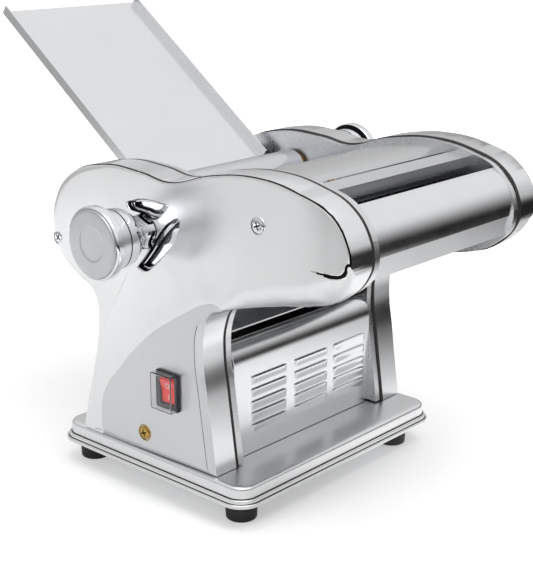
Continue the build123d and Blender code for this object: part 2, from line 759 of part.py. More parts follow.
# Cutter gears. The pairs mesh in the near cover and the link between the pairs in the far one.
gear_bore = journal_radius + 0.02
pair_angle = mesh_angle(0, pair_teeth, wide_rear_axis, pair_teeth, wide_front_axis)
narrow_pair_angle = mesh_angle(0, pair_teeth, narrow_rear_axis, pair_teeth, narrow_front_axis)
link_angle = mesh_angle(0, link_teeth, narrow_front_axis, link_teeth, wide_rear_axis)
with BuildPart() as wide_front_gear:
    gear(pair_teeth, fine_module, wide_front_axis, pair_angle, near_inner, gear_bore)
wide_front_gear.part.label = "wide_front_gear"
export_step(wide_front_gear.part, "parts/wide_front_gear.step")

with BuildPart() as wide_rear_gears:
    gear(pair_teeth, fine_module, wide_rear_axis, 0, near_inner, gear_bore)
    gear(link_teeth, fine_module, wide_rear_axis, link_angle, inner_row, gear_bore)
wide_rear_gears.part.label = "wide_rear_gears"
export_step(wide_rear_gears.part, "parts/wide_rear_gears.step")

with BuildPart() as narrow_front_gears:
    gear(pair_teeth, fine_module, narrow_front_axis, narrow_pair_angle, near_outer, gear_bore)
    gear(link_teeth, fine_module, narrow_front_axis, 0, inner_row, gear_bore)
narrow_front_gears.part.label = "narrow_front_gears"
export_step(narrow_front_gears.part, "parts/narrow_front_gears.step")

with BuildPart() as narrow_rear_gears:
    gear(pair_teeth, fine_module, narrow_rear_axis, 0, near_outer, gear_bore)
    gear(feed_teeth, fine_module, narrow_rear_axis, feed_angle, outer_row, gear_bore)
narrow_rear_gears.part.label = "narrow_rear_gears"
export_step(narrow_rear_gears.part, "parts/narrow_rear_gears.step")


# Combs that lift the noodles out of a pair's grooves: a bar with one finger for each groove.
def noodle_comb(axis, noodle, shift):
    place = (axis[0], axis[1] - cutter_radius - 4.5)
    with BuildSketch(Plane.YZ.offset(-plate_inner)) as strip:
        with Locations(place):
            Rectangle(7.0, 3.0)
    extrude(strip.sketch, amount=2 * plate_inner)
    count = int((2 * cutter_half - 4) / (2 * noodle))
    with Locations((noodle * (shift - 0.5), place[0], place[1] + 2.6)):
        with GridLocations(2 * noodle, 0, count - 1, 1):
            Box(noodle - 0.8, 8.0, 2.2)


with BuildPart() as noodle_combs:
    noodle_comb(wide_front_axis, wide_noodle, 0)
    noodle_comb(wide_rear_axis, wide_noodle, 1)
    noodle_comb(narrow_front_axis, narrow_noodle, 0)
    noodle_comb(narrow_rear_axis, narrow_noodle, 1)
noodle_combs.part.label = "noodle_combs"
export_step(noodle_combs.part, "parts/noodle_combs.step")

# Drive: a geared motor in the base, and the train that climbs the far side.
with BuildPart() as gear_axles:
    bar(bull_axis, journal_radius, plate_inner + plate_web, outer_row + gear_width)
    bar(bull_axis, journal_radius + 3, plate_inner + plate_web, outer_row - 0.6)
    bar(idler_axis, journal_radius, plate_inner + plate_web, outer_row + gear_width)
    bar(idler_axis, journal_radius + 3, plate_inner + plate_web, outer_row - 0.6)
gear_axles.part.label = "gear_axles"
export_step(gear_axles.part, "parts/gear_axles.step")

with BuildPart() as bull_gear:
    gear(bull_teeth, fine_module, bull_axis, bull_angle, outer_row, journal_radius + running_fit)
    with BuildSketch(Plane.YZ.offset(outer_row)):
        with Locations(bull_axis):
            with PolarLocations(22.0, 6):
                Circle(7.0)
    extrude(amount=gear_width, mode=Mode.SUBTRACT)
bull_gear.part.label = "bull_gear"
export_step(bull_gear.part, "parts/bull_gear.step")

with BuildPart() as idler_gear:
    gear(idler_teeth, fine_module, idler_axis, idler_angle, outer_row, journal_radius + running_fit)
idler_gear.part.label = "idler_gear"
export_step(idler_gear.part, "parts/idler_gear.step")

gearbox_start = 40.0
with BuildPart() as output_gear:
    gear(output_teeth, fine_module, motor_axis, output_angle, outer_row, journal_radius - 1)
    bar(motor_axis, journal_radius, gearbox_start + 16, outer_row + gear_width)
output_gear.part.label = "output_gear"
export_step(output_gear.part, "parts/output_gear.step")

motor_radius = 30.0
motor_start = -50.0
with BuildPart() as gearbox_case:
    with BuildSketch(Plane.YZ.offset(gearbox_start)):
        with Locations(motor_axis):
            RectangleRounded(62.0, 62.0, 8.0)
    extrude(amount=plate_inner - gearbox_start)
    bar(motor_axis, journal_radius + running_fit, gearbox_start + 15, 80, Mode.SUBTRACT)
gearbox_case.part.label = "gearbox_case"
export_step(gearbox_case.part, "parts/gearbox_case.step")

with BuildPart() as motor_can:
    bar(motor_axis, motor_radius, motor_start, gearbox_start)
    fillet(motor_can.edges().group_by(Axis.X)[0], 3.0)
    with BuildSketch(Plane.YZ.offset(motor_start)):
        with Locations(motor_axis):
            with PolarLocations(20.0, 12):
                SlotOverall(12.0, 4.0)
    extrude(amount=2.0, mode=Mode.SUBTRACT)
motor_can.part.label = "motor_can"
export_step(motor_can.part, "parts/motor_can.step")

with BuildPart() as motor_cradle:
    with BuildSketch(Plane.YZ.offset(motor_start + 10)):
        with Locations((motor_axis[0], (tray_top + 60.0) / 2)):
            Rectangle(56.0, 60.0 - tray_top)
        with Locations(motor_axis):
            Circle(motor_radius + 0.3, mode=Mode.SUBTRACT)
    extrude(amount=60.0)
    with BuildSketch(Plane.XZ.offset(-motor_axis[0] + 40)):
        with Locations((motor_start + 40, tray_top + 8)):
            Rectangle(40.0, 9.0)
    extrude(amount=-80.0, mode=Mode.SUBTRACT)
motor_cradle.part.label = "motor_cradle"
export_step(motor_cradle.part, "parts/motor_cradle.step")

capacitor_radius = 13.0
capacitor_ends = (-14.0, 36.0)
with BuildPart() as run_capacitor:
    bar((17.0, tray_top + capacitor_radius), capacitor_radius, *capacitor_ends)
    fillet(run_capacitor.edges().group_by(Axis.X)[0], 2.0)
    with Locations((capacitor_ends[1] + 4, 17.0, tray_top + capacitor_radius)):
        with GridLocations(0, 9.0, 1, 2):
            Box(8.0, 0.8, 5.0)
run_capacitor.part.label = "run_capacitor"
export_step(run_capacitor.part, "parts/run_capacitor.step")

with BuildPart() as terminal_block:
    with Locations((-64.0, 10.0, tray_top + 6.0)):
        Box(14.0, 36.0, 12.0)
    with Locations((-64.0, 10.0, tray_top + 12.0)):
        with GridLocations(0, 8.5, 1, 4):
            Cylinder(2.4, 8.0, mode=Mode.SUBTRACT)
terminal_block.part.label = "terminal_block"
export_step(terminal_block.part, "parts/terminal_block.step")

# Power inlet in the rear panel, with its three contact blades.
inlet_plane = Plane.XZ.offset(-rear_panel_y)
blade_places = [(-7.0, -2.0), (0.0, 2.5), (7.0, -2.0)]
with BuildPart() as power_inlet:
    with BuildSketch(inlet_plane):
        with Locations(inlet_place):
            RectangleRounded(33.0, 26.0, 3.0)
    extrude(amount=-2.5)
    with BuildSketch(inlet_plane):
        with Locations(inlet_place):
            Rectangle(27.0, 20.0)
    extrude(amount=18.0)
    with BuildSketch(Plane.XZ.offset(-rear_panel_y - 2.5)):
        with Locations(inlet_place):
            RectangleRounded(24.0, 16.5, 3.0)
    extrude(amount=17.0, mode=Mode.SUBTRACT)
    with BuildSketch(Plane.XZ.offset(-rear_panel_y + 14.5)):
        for dx, dz in blade_places:
            with Locations((inlet_place[0] + dx, inlet_place[1] + dz)):
                Rectangle(2.0, 4.5)
    extrude(amount=-11.0)
power_inlet.part.label = "power_inlet"
export_step(power_inlet.part, "parts/power_inlet.step")

# Rocker switch on the near cover, under a clear splash cover.
pivot_place = (-104.0, *switch_place)
pivot_radius = 1.5
rocker_width = 13.4
rocker_tilt = 9.0
with BuildPart() as switch_body:
    with BuildSketch(Plane.YZ.offset(-cover_face)):
        with Locations(switch_place):
            RectangleRounded(*switch_size, 1.5)
    extrude(amount=-1.8)
    with BuildSketch(Plane.YZ.offset(-cover_face)):
        with Locations(switch_place):
            Rectangle(switch_size[0] - 2.4, switch_size[1] - 2.4)
    extrude(amount=16.0)
    with BuildSketch(Plane.YZ.offset(-cover_face - 1.8)):
        with Locations(switch_place):
            Rectangle(14.0, 20.4)
    extrude(amount=12.5, mode=Mode.SUBTRACT)
    with Locations(pivot_place):
        Cylinder(pivot_radius + running_fit, 18.0, rotation=(90, 0, 0), mode=Mode.SUBTRACT)
switch_body.part.label = "switch_body"
export_step(switch_body.part, "parts/switch_body.step")

rocker_plane = Plane(
    origin=(pivot_place[0], switch_place[0] - rocker_width / 2, switch_place[1]),
    x_dir=(-cos(radians(rocker_tilt)), 0, -sin(radians(rocker_tilt))),
    z_dir=(0, 1, 0),
)
with BuildPart() as rocker:
    with BuildSketch(rocker_plane):
        Polygon((-2.5, -7.0), (5.4, -8.9), (4.3, 0.0), (5.4, 8.9), (-2.5, 7.0), align=None)
    extrude(amount=rocker_width)
    with Locations(pivot_place):
        Cylinder(pivot_radius, 17.6, rotation=(90, 0, 0))
rocker.part.label = "rocker"
export_step(rocker.part, "parts/rocker.step")

with BuildPart() as switch_cover:
    with BuildSketch(Plane.YZ.offset(-cover_face - 1.8)):
        with Locations(switch_place):
            RectangleRounded(switch_size[0] - 1, switch_size[1] - 1, 1.5)
    extrude(amount=-6.5)
    fillet(switch_cover.edges().group_by(Axis.X)[0], 1.2)
    with BuildSketch(Plane.YZ.offset(-cover_face - 1.8)):
        with Locations(switch_place):
            Rectangle(switch_size[0] - 2.8, switch_size[1] - 2.8)
    extrude(amount=-5.6, mode=Mode.SUBTRACT)
switch_cover.part.label = "switch_cover"
export_step(switch_cover.part, "parts/switch_cover.step")

# Dough chute: a bent tray that leans back from the rollers and hooks over the upper rear rod.
chute_length = hypot(chute_high[0] - chute_low[0], chute_high[1] - chute_low[1])
chute_slope = degrees(atan2(chute_high[1] - chute_low[1], chute_high[0] - chute_low[0]))
chute_plane = Plane(
    origin=(0, *chute_low),
    x_dir=(0, cos(radians(chute_slope)), sin(radians(chute_slope))),
    z_dir=(0, -sin(radians(chute_slope)), cos(radians(chute_slope))),
)
flange_height = 7.0
rod_from_chute = Vector(0, rod_places[2][0] - chute_low[0], rod_places[2][1] - chute_low[1])
rod_along = rod_from_chute.dot(chute_plane.x_dir)
rod_below = rod_from_chute.dot(chute_plane.z_dir)
with BuildPart() as dough_chute:
    with BuildSketch(chute_plane):
        with Locations((chute_length / 2, 0)):
            Rectangle(chute_length, 2 * chute_half)
    extrude(amount=sheet)
    with BuildSketch(chute_plane):
        with Locations((chute_length / 2, 0)):
            with GridLocations(0, 2 * chute_half - sheet, 1, 2):
                Rectangle(chute_length, sheet)
    extrude(amount=flange_height)
    for side in (-1, 1):
        with BuildSketch(Plane(origin=(side * 55, *chute_low), x_dir=chute_plane.x_dir, z_dir=(1, 0, 0))):
            Polygon((rod_along, 0), (30, 0), (30, -9), (12, -9), (5, -17), (rod_along, -17), align=None)
            with Locations((rod_along, rod_below)):
                Circle(rod_radius + 0.3, mode=Mode.SUBTRACT)
        extrude(amount=side * 2.0)
dough_chute.part.label = "dough_chute"
export_step(dough_chute.part, "parts/dough_chute.step")

print("rear roller axis", [round(v, 3) for v in rear_axis], "front", [round(v, 3) for v in front_axis])
print("bull", [round(v, 3) for v in bull_axis], "idler", [round(v, 3) for v in idler_axis])
print("chute slope", round(chute_slope, 3), "length", round(chute_length, 2))
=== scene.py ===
import json
import math

import bmesh
import bpy
import numpy as np
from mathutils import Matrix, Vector


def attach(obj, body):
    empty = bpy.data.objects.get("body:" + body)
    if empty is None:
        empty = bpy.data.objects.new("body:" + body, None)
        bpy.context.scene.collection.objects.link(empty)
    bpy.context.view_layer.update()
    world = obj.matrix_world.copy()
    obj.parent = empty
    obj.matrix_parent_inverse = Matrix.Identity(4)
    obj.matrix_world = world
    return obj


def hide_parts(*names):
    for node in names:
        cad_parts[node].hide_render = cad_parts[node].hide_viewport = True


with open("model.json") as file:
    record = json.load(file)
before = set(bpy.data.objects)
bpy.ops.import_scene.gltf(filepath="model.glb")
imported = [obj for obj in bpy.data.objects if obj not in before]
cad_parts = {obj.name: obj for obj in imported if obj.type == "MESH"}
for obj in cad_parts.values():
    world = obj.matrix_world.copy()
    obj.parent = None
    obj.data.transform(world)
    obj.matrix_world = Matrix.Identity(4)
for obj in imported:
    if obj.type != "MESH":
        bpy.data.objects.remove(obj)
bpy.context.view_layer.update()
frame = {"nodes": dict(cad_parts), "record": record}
scene = bpy.context.scene
mm = 0.001
print("frame loaded")


def linear(hexColour):
    channels = [int(hexColour[i : i + 2], 16) / 255 for i in (1, 3, 5)]
    return [c / 12.92 if c <= 0.04045 else ((c + 0.055) / 1.055) ** 2.4 for c in channels] + [1.0]


def addNode(tree, kind, inputs={}, **settings):
    node = tree.nodes.new("ShaderNode" + kind)
    for name, value in settings.items():
        setattr(node, name, value)
    for socket, value in inputs.items():
        if isinstance(value, bpy.types.NodeSocket):
            tree.links.new(value, node.inputs[socket])
        else:
            node.inputs[socket].default_value = value
    return node


def newMaterial(name):
    material = bpy.data.materials.new(name)
    material.use_nodes = True
    tree = material.node_tree
    shader = tree.nodes["Principled BSDF"]
    place = addNode(tree, "TexCoord").outputs["Object"]
    return material, tree, shader, place


# 1 for a ray from the lens, from polished metal or through the clear cover, else 0
def lensOrGloss(tree):
    rays = addNode(tree, "LightPath").outputs
    seen = addNode(tree, "Math", {0: rays["Is Camera Ray"], 1: rays["Is Glossy Ray"]}, operation="MAXIMUM")
    either = {0: seen.outputs[0], 1: rays["Is Transmission Ray"]}
    return addNode(tree, "Math", either, operation="MAXIMUM").outputs[0]


def startAlone():
    bpy.ops.object.select_all(action="DESELECT")


def editAll():
    bpy.ops.object.mode_set(mode="EDIT")
    bpy.ops.mesh.select_all(action="SELECT")


def applyPlace():
    bpy.ops.object.transform_apply(location=True, rotation=True, scale=True)


# camera: 78 mm lens, looking down 17 degrees at the switch side and the front
cameraSet = {"place": (-0.6657, -0.6291, 0.4108), "tilt": 73.0, "turn": -47.9, "lens": 78.25, "sensor": 36}
bpy.ops.object.camera_add(
    location=cameraSet["place"],
    rotation=(math.radians(cameraSet["tilt"]), 0, math.radians(cameraSet["turn"])),
)
camera = bpy.context.object
camera.data.lens = cameraSet["lens"]
camera.data.sensor_width = cameraSet["sensor"]
camera.data.clip_end = 50
scene.camera = camera
scene.view_settings.view_transform = "Standard"
print("camera set")

# world: white where the lens or polished metal looks at it, softer grey as light
worldSet = {"light": 0.45, "seen": 1.0}
world = bpy.data.worlds.new("studio")
scene.world = world
world.use_nodes = True
tree = world.node_tree
strength = addNode(
    tree, "MapRange", {"Value": lensOrGloss(tree), "To Min": worldSet["light"], "To Max": worldSet["seen"]}
)
tree.links.new(strength.outputs["Result"], tree.nodes["Background"].inputs["Strength"])
tree.nodes["Background"].inputs["Color"].default_value = (1, 1, 1, 1)

# floor: plain white that keeps the shadow; it glows a little for the lens and for polished metal,
# more so far away, so that it ends in the white background
floorSet = {
    "size": 30.0,
    "colour": "#EDEDED",
    "rough": 0.9,
    "near": 0.2,
    "far": 0.85,
    "nearLift": 0.12,
    "farLift": 0.6,
    "lensLift": 0.25,
}
startAlone()
bpy.ops.mesh.primitive_plane_add(size=floorSet["size"])
floor = bpy.context.object
floor.name = "studioFloor"
material, tree, shader, place = newMaterial("paintedStudioFloor")
shader.inputs["Base Color"].default_value = linear(floorSet["colour"])
shader.inputs["Roughness"].default_value = floorSet["rough"]
shader.inputs["Specular IOR Level"].default_value = 0.0
away = addNode(tree, "VectorMath", {0: place}, operation="LENGTH").outputs["Value"]
reach = {"Value": away, "From Min": floorSet["near"], "From Max": floorSet["far"]}
reach |= {"To Min": floorSet["nearLift"], "To Max": floorSet["farLift"]}
lift = addNode(tree, "MapRange", reach, interpolation_type="SMOOTHSTEP").outputs["Result"]
lens = addNode(tree, "LightPath").outputs["Is Camera Ray"]
white = addNode(tree, "Math", {0: lens, 1: floorSet["lensLift"], 2: lift}, operation="MULTIPLY_ADD")
glow = addNode(tree, "Math", {0: lensOrGloss(tree), 1: white.outputs[0]}, operation="MULTIPLY")
shader.inputs["Emission Color"].default_value = (1, 1, 1, 1)
tree.links.new(glow.outputs[0], shader.inputs["Emission Strength"])
floor.data.materials.append(material)

# lamps: two large soft boxes, one over the front and one from the switch side
lampSet = [
    {"name": "overheadBox", "place": (-0.3, -0.7, 2.2), "aim": (0, 0, 0.1), "size": 1.8, "power": 30},
    {"name": "sideBox", "place": (-2.2, 0.3, 1.2), "aim": (0, 0, 0.15), "size": 1.4, "power": 10},
]
for lamp in lampSet:
    bpy.ops.object.light_add(type="AREA", location=lamp["place"])
    light = bpy.context.object
    light.name = lamp["name"]
    light.data.size = lamp["size"]
    light.data.energy = lamp["power"]
    beam = Vector(lamp["aim"]) - Vector(lamp["place"])
    light.rotation_euler = beam.to_track_quat("-Z", "Y").to_euler()

# studio flags: a round wall of cloth, dark at the front and grey at the sides, and cloths and a card
# on the table; only the metal sees them, and they draw its dark and light lines
flagSet = {
    "radius": 1.2,
    "low": -0.01,
    "high": 1.3,
    "turns": 0.35,  # where the front of the wall runs over into its side
    "frontBlack": 0.02,
    "frontWhite": 0.72,
    "sideGrey": 0.45,
    "sideWhite": 1.6,
}
# near and far are distances from the middle; the level runs from edge to middle over soft, as shares
# of the cloth's size, along it or, where soft starts above 0, as a round spot
clothSet = {
    "frontTableCloth": {
        "turn": -46, "near": 0.38, "far": 1.19, "wide": 2.0,
        "edge": 0.8, "middle": 0.02, "soft": (-0.5, -0.1),
    },
    "frontTableCard": {
        "turn": -52, "near": 0.1, "far": 0.37, "wide": 0.6,
        "edge": 0.85, "middle": 1.25, "soft": (0.5, 0.2),
    },
    "sideTableCloth": {
        "turn": 172, "near": 0.35, "far": 1.1, "wide": 0.65,
        "edge": 0.95, "middle": 0.25, "soft": (0.48, 0.05),
    },
}


def asFlag(flag, name):
    flag.name = name
    flag.visible_camera = False
    flag.visible_diffuse = False
    flag.visible_shadow = False
    flag.visible_transmission = False


def glowing(name, level):
    material, tree, shader, place = newMaterial(name)
    tree.nodes.remove(shader)
    glow = addNode(tree, "Emission", {"Color": (1, 1, 1, 1), "Strength": level(tree, place)})
    tree.links.new(glow.outputs[0], tree.nodes["Material Output"].inputs["Surface"])
    return material


def wallLevel(tree, place):
    middle = (flagSet["high"] + flagSet["low"]) / 2  # object coordinates start at the middle of the wall
    parts = addNode(tree, "SeparateXYZ", {0: place}).outputs
    turns = {"Value": parts["Y"], "From Min": flagSet["turns"], "From Max": -flagSet["turns"]}
    front = addNode(tree, "MapRange", turns, interpolation_type="SMOOTHSTEP").outputs[0]
    lowest = addNode(tree, "MapRange", {"Value": front, "To Min": flagSet["sideGrey"], "To Max": 0.0})
    black = flagSet["frontBlack"] - middle
    start = addNode(tree, "MapRange", {"Value": front, "To Min": -middle, "To Max": black})
    white = {"To Min": flagSet["sideWhite"] - middle, "To Max": flagSet["frontWhite"] - middle}
    end = addNode(tree, "MapRange", {"Value": front, **white})
    rise = {"Value": parts["Z"], "From Min": start.outputs[0], "From Max": end.outputs[0]}
    rise["To Min"] = lowest.outputs[0]
    return addNode(tree, "MapRange", rise, interpolation_type="SMOOTHSTEP").outputs["Result"]


startAlone()
bpy.ops.mesh.primitive_cylinder_add(
    vertices=128,
    radius=flagSet["radius"],
    depth=flagSet["high"] - flagSet["low"],
    end_fill_type="NOTHING",
    location=(0, 0, (flagSet["high"] + flagSet["low"]) / 2),
)
asFlag(bpy.context.object, "studioFlags")
bpy.context.object.data.materials.append(glowing("blackStudioCloth", wallLevel))

for name, cloth in clothSet.items():
    startAlone()
    bpy.ops.mesh.primitive_plane_add(size=1.0)
    flat = bpy.context.object
    flat.scale = (cloth["far"] - cloth["near"], cloth["wide"], 1.0)
    turn = math.radians(cloth["turn"])
    reach = (cloth["far"] + cloth["near"]) / 2
    flat.rotation_euler = (0, 0, turn)
    flat.location = (reach * math.cos(turn), reach * math.sin(turn), mm)
    asFlag(flat, name)

    def clothLevel(tree, place):
        if cloth["soft"][0] > 0:
            far = addNode(tree, "VectorMath", {0: place}, operation="LENGTH").outputs["Value"]
        else:
            far = addNode(tree, "SeparateXYZ", {0: place}).outputs["X"]
        soft = {"Value": far, "From Min": cloth["soft"][0], "From Max": cloth["soft"][1]}
        along = addNode(tree, "MapRange", soft, interpolation_type="SMOOTHSTEP")
        ends = {"Value": along.outputs[0], "To Min": cloth["edge"], "To Max": cloth["middle"]}
        return addNode(tree, "MapRange", ends).outputs["Result"]

    flat.data.materials.append(glowing(name + "Felt", clothLevel))
print("studio set")


# wear: the least and the most that a finish's patterns add up to; bump: how strongly its relief shows
wearSet = {"metal": (0.6, 1.4), "spun": (0.0, 2.0), "moulded": (0.0, 1.0)}
bumpSet = {"metal": 0.4, "spun": 0.15, "moulded": 0.5, "vinyl": 0.2}


# joins patterns to a shader: tone moves the colour, wear the roughness, relief the bump
def dress(tree, shader, kind, values, tone, wear, relief):
    shades = {"Factor": tone, "A": linear(values["light"]), "B": linear(values["dark"])}
    tint = addNode(tree, "Mix", shades, data_type="RGBA")
    limits = {"From Min": wearSet[kind][0], "From Max": wearSet[kind][1]}
    limits |= {"To Min": values["smooth"], "To Max": values["rough"]}
    rough = addNode(tree, "MapRange", {"Value": wear, **limits})
    tree.links.new(tint.outputs["Result"], shader.inputs["Base Color"])
    tree.links.new(rough.outputs["Result"], shader.inputs["Roughness"])
    if values.get("relief"):
        deep = {"Height": relief, "Strength": bumpSet[kind], "Distance": values["relief"] * mm}
        height = addNode(tree, "Bump", deep)
        tree.links.new(height.outputs["Normal"], shader.inputs["Normal"])


# metals: colour and roughness wander over haze millimetres, and tool marks lie so many to the metre
# along each axis; relief is how deep the marks are, in millimetres
def metal(name, light, dark, smooth, rough, marks, haze, relief=0.0):
    material, tree, shader, place = newMaterial(name)
    values = {"light": light, "dark": dark, "smooth": smooth, "rough": rough, "relief": relief}
    scale = addNode(tree, "Mapping", {"Vector": place, "Scale": marks}).outputs[0]
    lines = addNode(tree, "TexNoise", {"Vector": scale, "Scale": 1.0, "Detail": 3.0}).outputs["Fac"]
    patches = {"Vector": place, "Scale": 1 / (haze * mm), "Detail": 2.0}
    hazes = addNode(tree, "TexNoise", patches).outputs["Fac"]
    wear = addNode(tree, "Math", {0: lines, 1: hazes}, operation="ADD").outputs[0]
    dress(tree, shader, "metal", values, hazes, wear, lines)
    shader.inputs["Metallic"].default_value = 1.0
    return material


# name, light and dark tone, roughness from smooth to rough, marks, haze and relief
metalSet = {
    # polished stainless sheet: a near mirror, softened by the last buffing, so its greys run together
    "polished_steel": ("polishedStainlessSheet", "#E0E1E2", "#D8D9DB", 0.17, 0.24, (60, 60, 60), 45),
    # buffed stainless sheet: the faces of the covers, cloth-wheeled, so they mirror only soft shades
    "buffed": ("buffedStainlessSheet", "#EBECED", "#E5E6E7", 0.3, 0.35, (50, 50, 50), 60),
    # brushed stainless sheet: the arch panel of a cover, with upright brush marks; its tone, darker than
    # the buffed faces, is painted shade
    "brushed": ("brushedStainlessPaintedShade", "#D6D7D9", "#CED0D2", 0.33, 0.4, (600, 600, 30), 60),
    # belted stainless sheet: the base tray, left as it came from the satin belt, so it mirrors pale patches
    "belted": ("satinBeltedSheet", "#E6E7E8", "#DEDFE0", 0.3, 0.38, (60, 60, 60), 50),
    # satin stainless sheet: rolled lines blur what it mirrors in one direction
    "satin_steel": ("satinStainlessSheet", "#D6D7D9", "#CFD0D2", 0.24, 0.32, (40, 400, 400), 60),
    # zinc plated steel: a dull bluish grey with faint spangle
    "zinc_steel": ("zincPlatedSteel", "#B4B8BD", "#9DA2A8", 0.3, 0.45, (200, 200, 200), 8, 0.02),
    # cut gear steel: oiled, darker, with marks from the hob
    "gear_steel": ("hobbedGearSteel", "#93969A", "#7A7D82", 0.25, 0.4, (1500, 300, 300), 10, 0.03),
    # hard chromed rollers: bright, ground round, so the marks run round the axis
    "roller_steel": ("groundChromedRoller", "#D2D4D7", "#C4C6CA", 0.08, 0.18, (1600, 60, 60), 40, 0.01),
    # turned cutter steel: dark between its rings
    "cutter_steel": ("turnedCutterSteel", "#7C7F83", "#5F6266", 0.22, 0.36, (1200, 120, 120), 12, 0.03),
    # chrome plate on the knobs: bluish, the sharpest mirror on the machine
    "knob_chrome": ("chromePlatedKnob", "#E4E6E9", "#DCDEE2", 0.03, 0.08, (80, 80, 80), 25),
    # painted shade for the inside of a seam, a groove or a screw slot: steel painted nearly black
    "seam": ("paintedSeamShade", "#1E1E1F", "#121213", 0.4, 0.6, (300, 300, 300), 5),
    # plain brass: warm, slightly dulled by handling
    "brass": ("turnedBrass", "#C9A85E", "#A98A48", 0.18, 0.32, (900, 900, 900), 3, 0.02),
    # sintered bronze bushes: matt and open grained
    "bronze": ("sinteredBronze", "#B08B58", "#8F6E43", 0.38, 0.5, (1800, 1800, 1800), 4, 0.05),
    # die cast alloy: flat grey with a fine pebble from the die
    "cast_alloy": ("dieCastAlloy", "#B9BBBD", "#A2A4A7", 0.4, 0.52, (900, 900, 900), 6, 0.05),
}
finishes = {slotName: metal(*values) for slotName, values in metalSet.items()}
finishes["knob_disc"] = finishes["cast_alloy"]
# paintedShadeSteel is the painted shade laid in seams, grooves and recesses
polishedSteel, paintedShadeSteel, knobChrome = (finishes[key] for key in ("polished_steel", "seam", "knob_chrome"))

# face of the knobs: satin spun aluminium, its turning marks are rings round the knob's own axis
spunSet = {
    "light": "#CDCECF",
    "dark": "#BDBEC0",
    "smooth": 0.35,
    "rough": 0.4,
    "ring": 0.35,  # from one turning mark to the next, in millimetres
    "waves": 20,  # the wave texture makes about this many rings to a metre at a scale of 1
    "waver": 0.6,
    "haze": 60.0,
    "relief": 0.01,
}


def spunFace(name, centre):
    material, tree, shader, place = newMaterial(name)
    moved = addNode(tree, "Mapping", {"Vector": place, "Location": [-c * mm for c in centre]}).outputs[0]
    turned = {"Vector": moved, "Scale": 1 / (spunSet["ring"] * mm) / spunSet["waves"]}
    turned |= {"Distortion": spunSet["waver"], "Detail": 2.0}
    rings = addNode(tree, "TexWave", turned, wave_type="RINGS", rings_direction="X").outputs["Fac"]
    patches = {"Vector": place, "Scale": spunSet["haze"], "Detail": 2.0}
    haze = addNode(tree, "TexNoise", patches).outputs["Fac"]
    wear = addNode(tree, "Math", {0: rings, 1: haze}, operation="ADD").outputs[0]
    dress(tree, shader, "spun", spunSet, haze, wear, rings)
    shader.inputs["Metallic"].default_value = 1.0
    return material


mouldedTone = 90.0  # how many times to the metre the tone of a moulding changes


# moulded and painted things: a grain of a real size in the bump, and a little change of tone
def moulded(name, light, dark, grain, smooth, rough, relief, ior):
    material, tree, shader, place = newMaterial(name)
    values = {"light": light, "dark": dark, "smooth": smooth, "rough": rough, "relief": relief}
    pits = {"Vector": place, "Scale": 1 / (grain * mm), "Detail": 3.0}
    grains = addNode(tree, "TexNoise", pits).outputs["Fac"]
    patches = {"Vector": place, "Scale": mouldedTone, "Detail": 2.0}
    tone = addNode(tree, "TexNoise", patches).outputs["Fac"]
    dress(tree, shader, "moulded", values, tone, grains, grains)
    shader.inputs["IOR"].default_value = ior
    return material


# name, light and dark tone, grain, roughness from smooth to rough, relief and IOR
mouldedSet = {
    # moulded rubber feet: nearly black, dull, with the fine skin of the mould
    "black_rubber": ("mouldedRubber", "#1C1C1D", "#121213", 0.5, 0.5, 0.7, 0.05, 1.52),
    # stoved enamel on the motor can: black with a soft gloss and slight orange peel
    "motor_paint": ("stovedEnamel", "#2A2A2C", "#222224", 1.5, 0.25, 0.38, 0.03, 1.5),
    # moulded ABS of the switch bezel, blocks and inlet: black, fine spark texture
    "black_plastic": ("mouldedBlackAbs", "#1B1B1C", "#141415", 0.4, 0.28, 0.42, 0.02, 1.5),
    # moulded polypropylene combs: milky white, waxy
    "white_plastic": ("mouldedPolypropylene", "#E6E6E1", "#DAD9D2", 0.8, 0.35, 0.5, 0.02, 1.49),
    # moulded polycarbonate rocker: strong red with a gloss, and a painted glow from its emission
    "red_plastic": ("mouldedRedPolycarbonate", "#D3201A", "#B81712", 0.6, 0.12, 0.22, 0.01, 1.58),
}
finishes |= {slotName: moulded(*values) for slotName, values in mouldedSet.items()}
# painted glow: the rocker shines red by emission
rockerPaintedGlow = {"colour": "#E0241C", "strength": 0.45}
shader = finishes["red_plastic"].node_tree.nodes["Principled BSDF"]
shader.inputs["Emission Color"].default_value = linear(rockerPaintedGlow["colour"])
shader.inputs["Emission Strength"].default_value = rockerPaintedGlow["strength"]

# moulded clear vinyl over the switch: see-through, a little wavy from the mould
vinylSet = {"colour": "#F4F6F7", "wave": 4.0, "smooth": 0.02, "rough": 0.08, "relief": 0.1, "ior": 1.45}
finishes["clear_vinyl"], tree, shader, place = newMaterial("mouldedClearVinyl")
ripples = {"Vector": place, "Scale": 1 / (vinylSet["wave"] * mm), "Detail": 1.0}
wave = addNode(tree, "TexNoise", ripples).outputs["Fac"]
limits = {"To Min": vinylSet["smooth"], "To Max": vinylSet["rough"]}
rough = addNode(tree, "MapRange", {"Value": wave, **limits})
deep = {"Height": wave, "Strength": bumpSet["vinyl"], "Distance": vinylSet["relief"] * mm}
height = addNode(tree, "Bump", deep)
tree.links.new(rough.outputs["Result"], shader.inputs["Roughness"])
tree.links.new(height.outputs["Normal"], shader.inputs["Normal"])
shader.inputs["Base Color"].default_value = linear(vinylSet["colour"])
shader.inputs["Transmission Weight"].default_value = 1.0
shader.inputs["IOR"].default_value = vinylSet["ior"]
print("finishes made")

for row in frame["record"]["subparts"]:
    for holder in frame["nodes"][row["node"]].material_slots:
        holder.material = finishes[row["material_slot"]]
print("finishes on the CAD nodes")


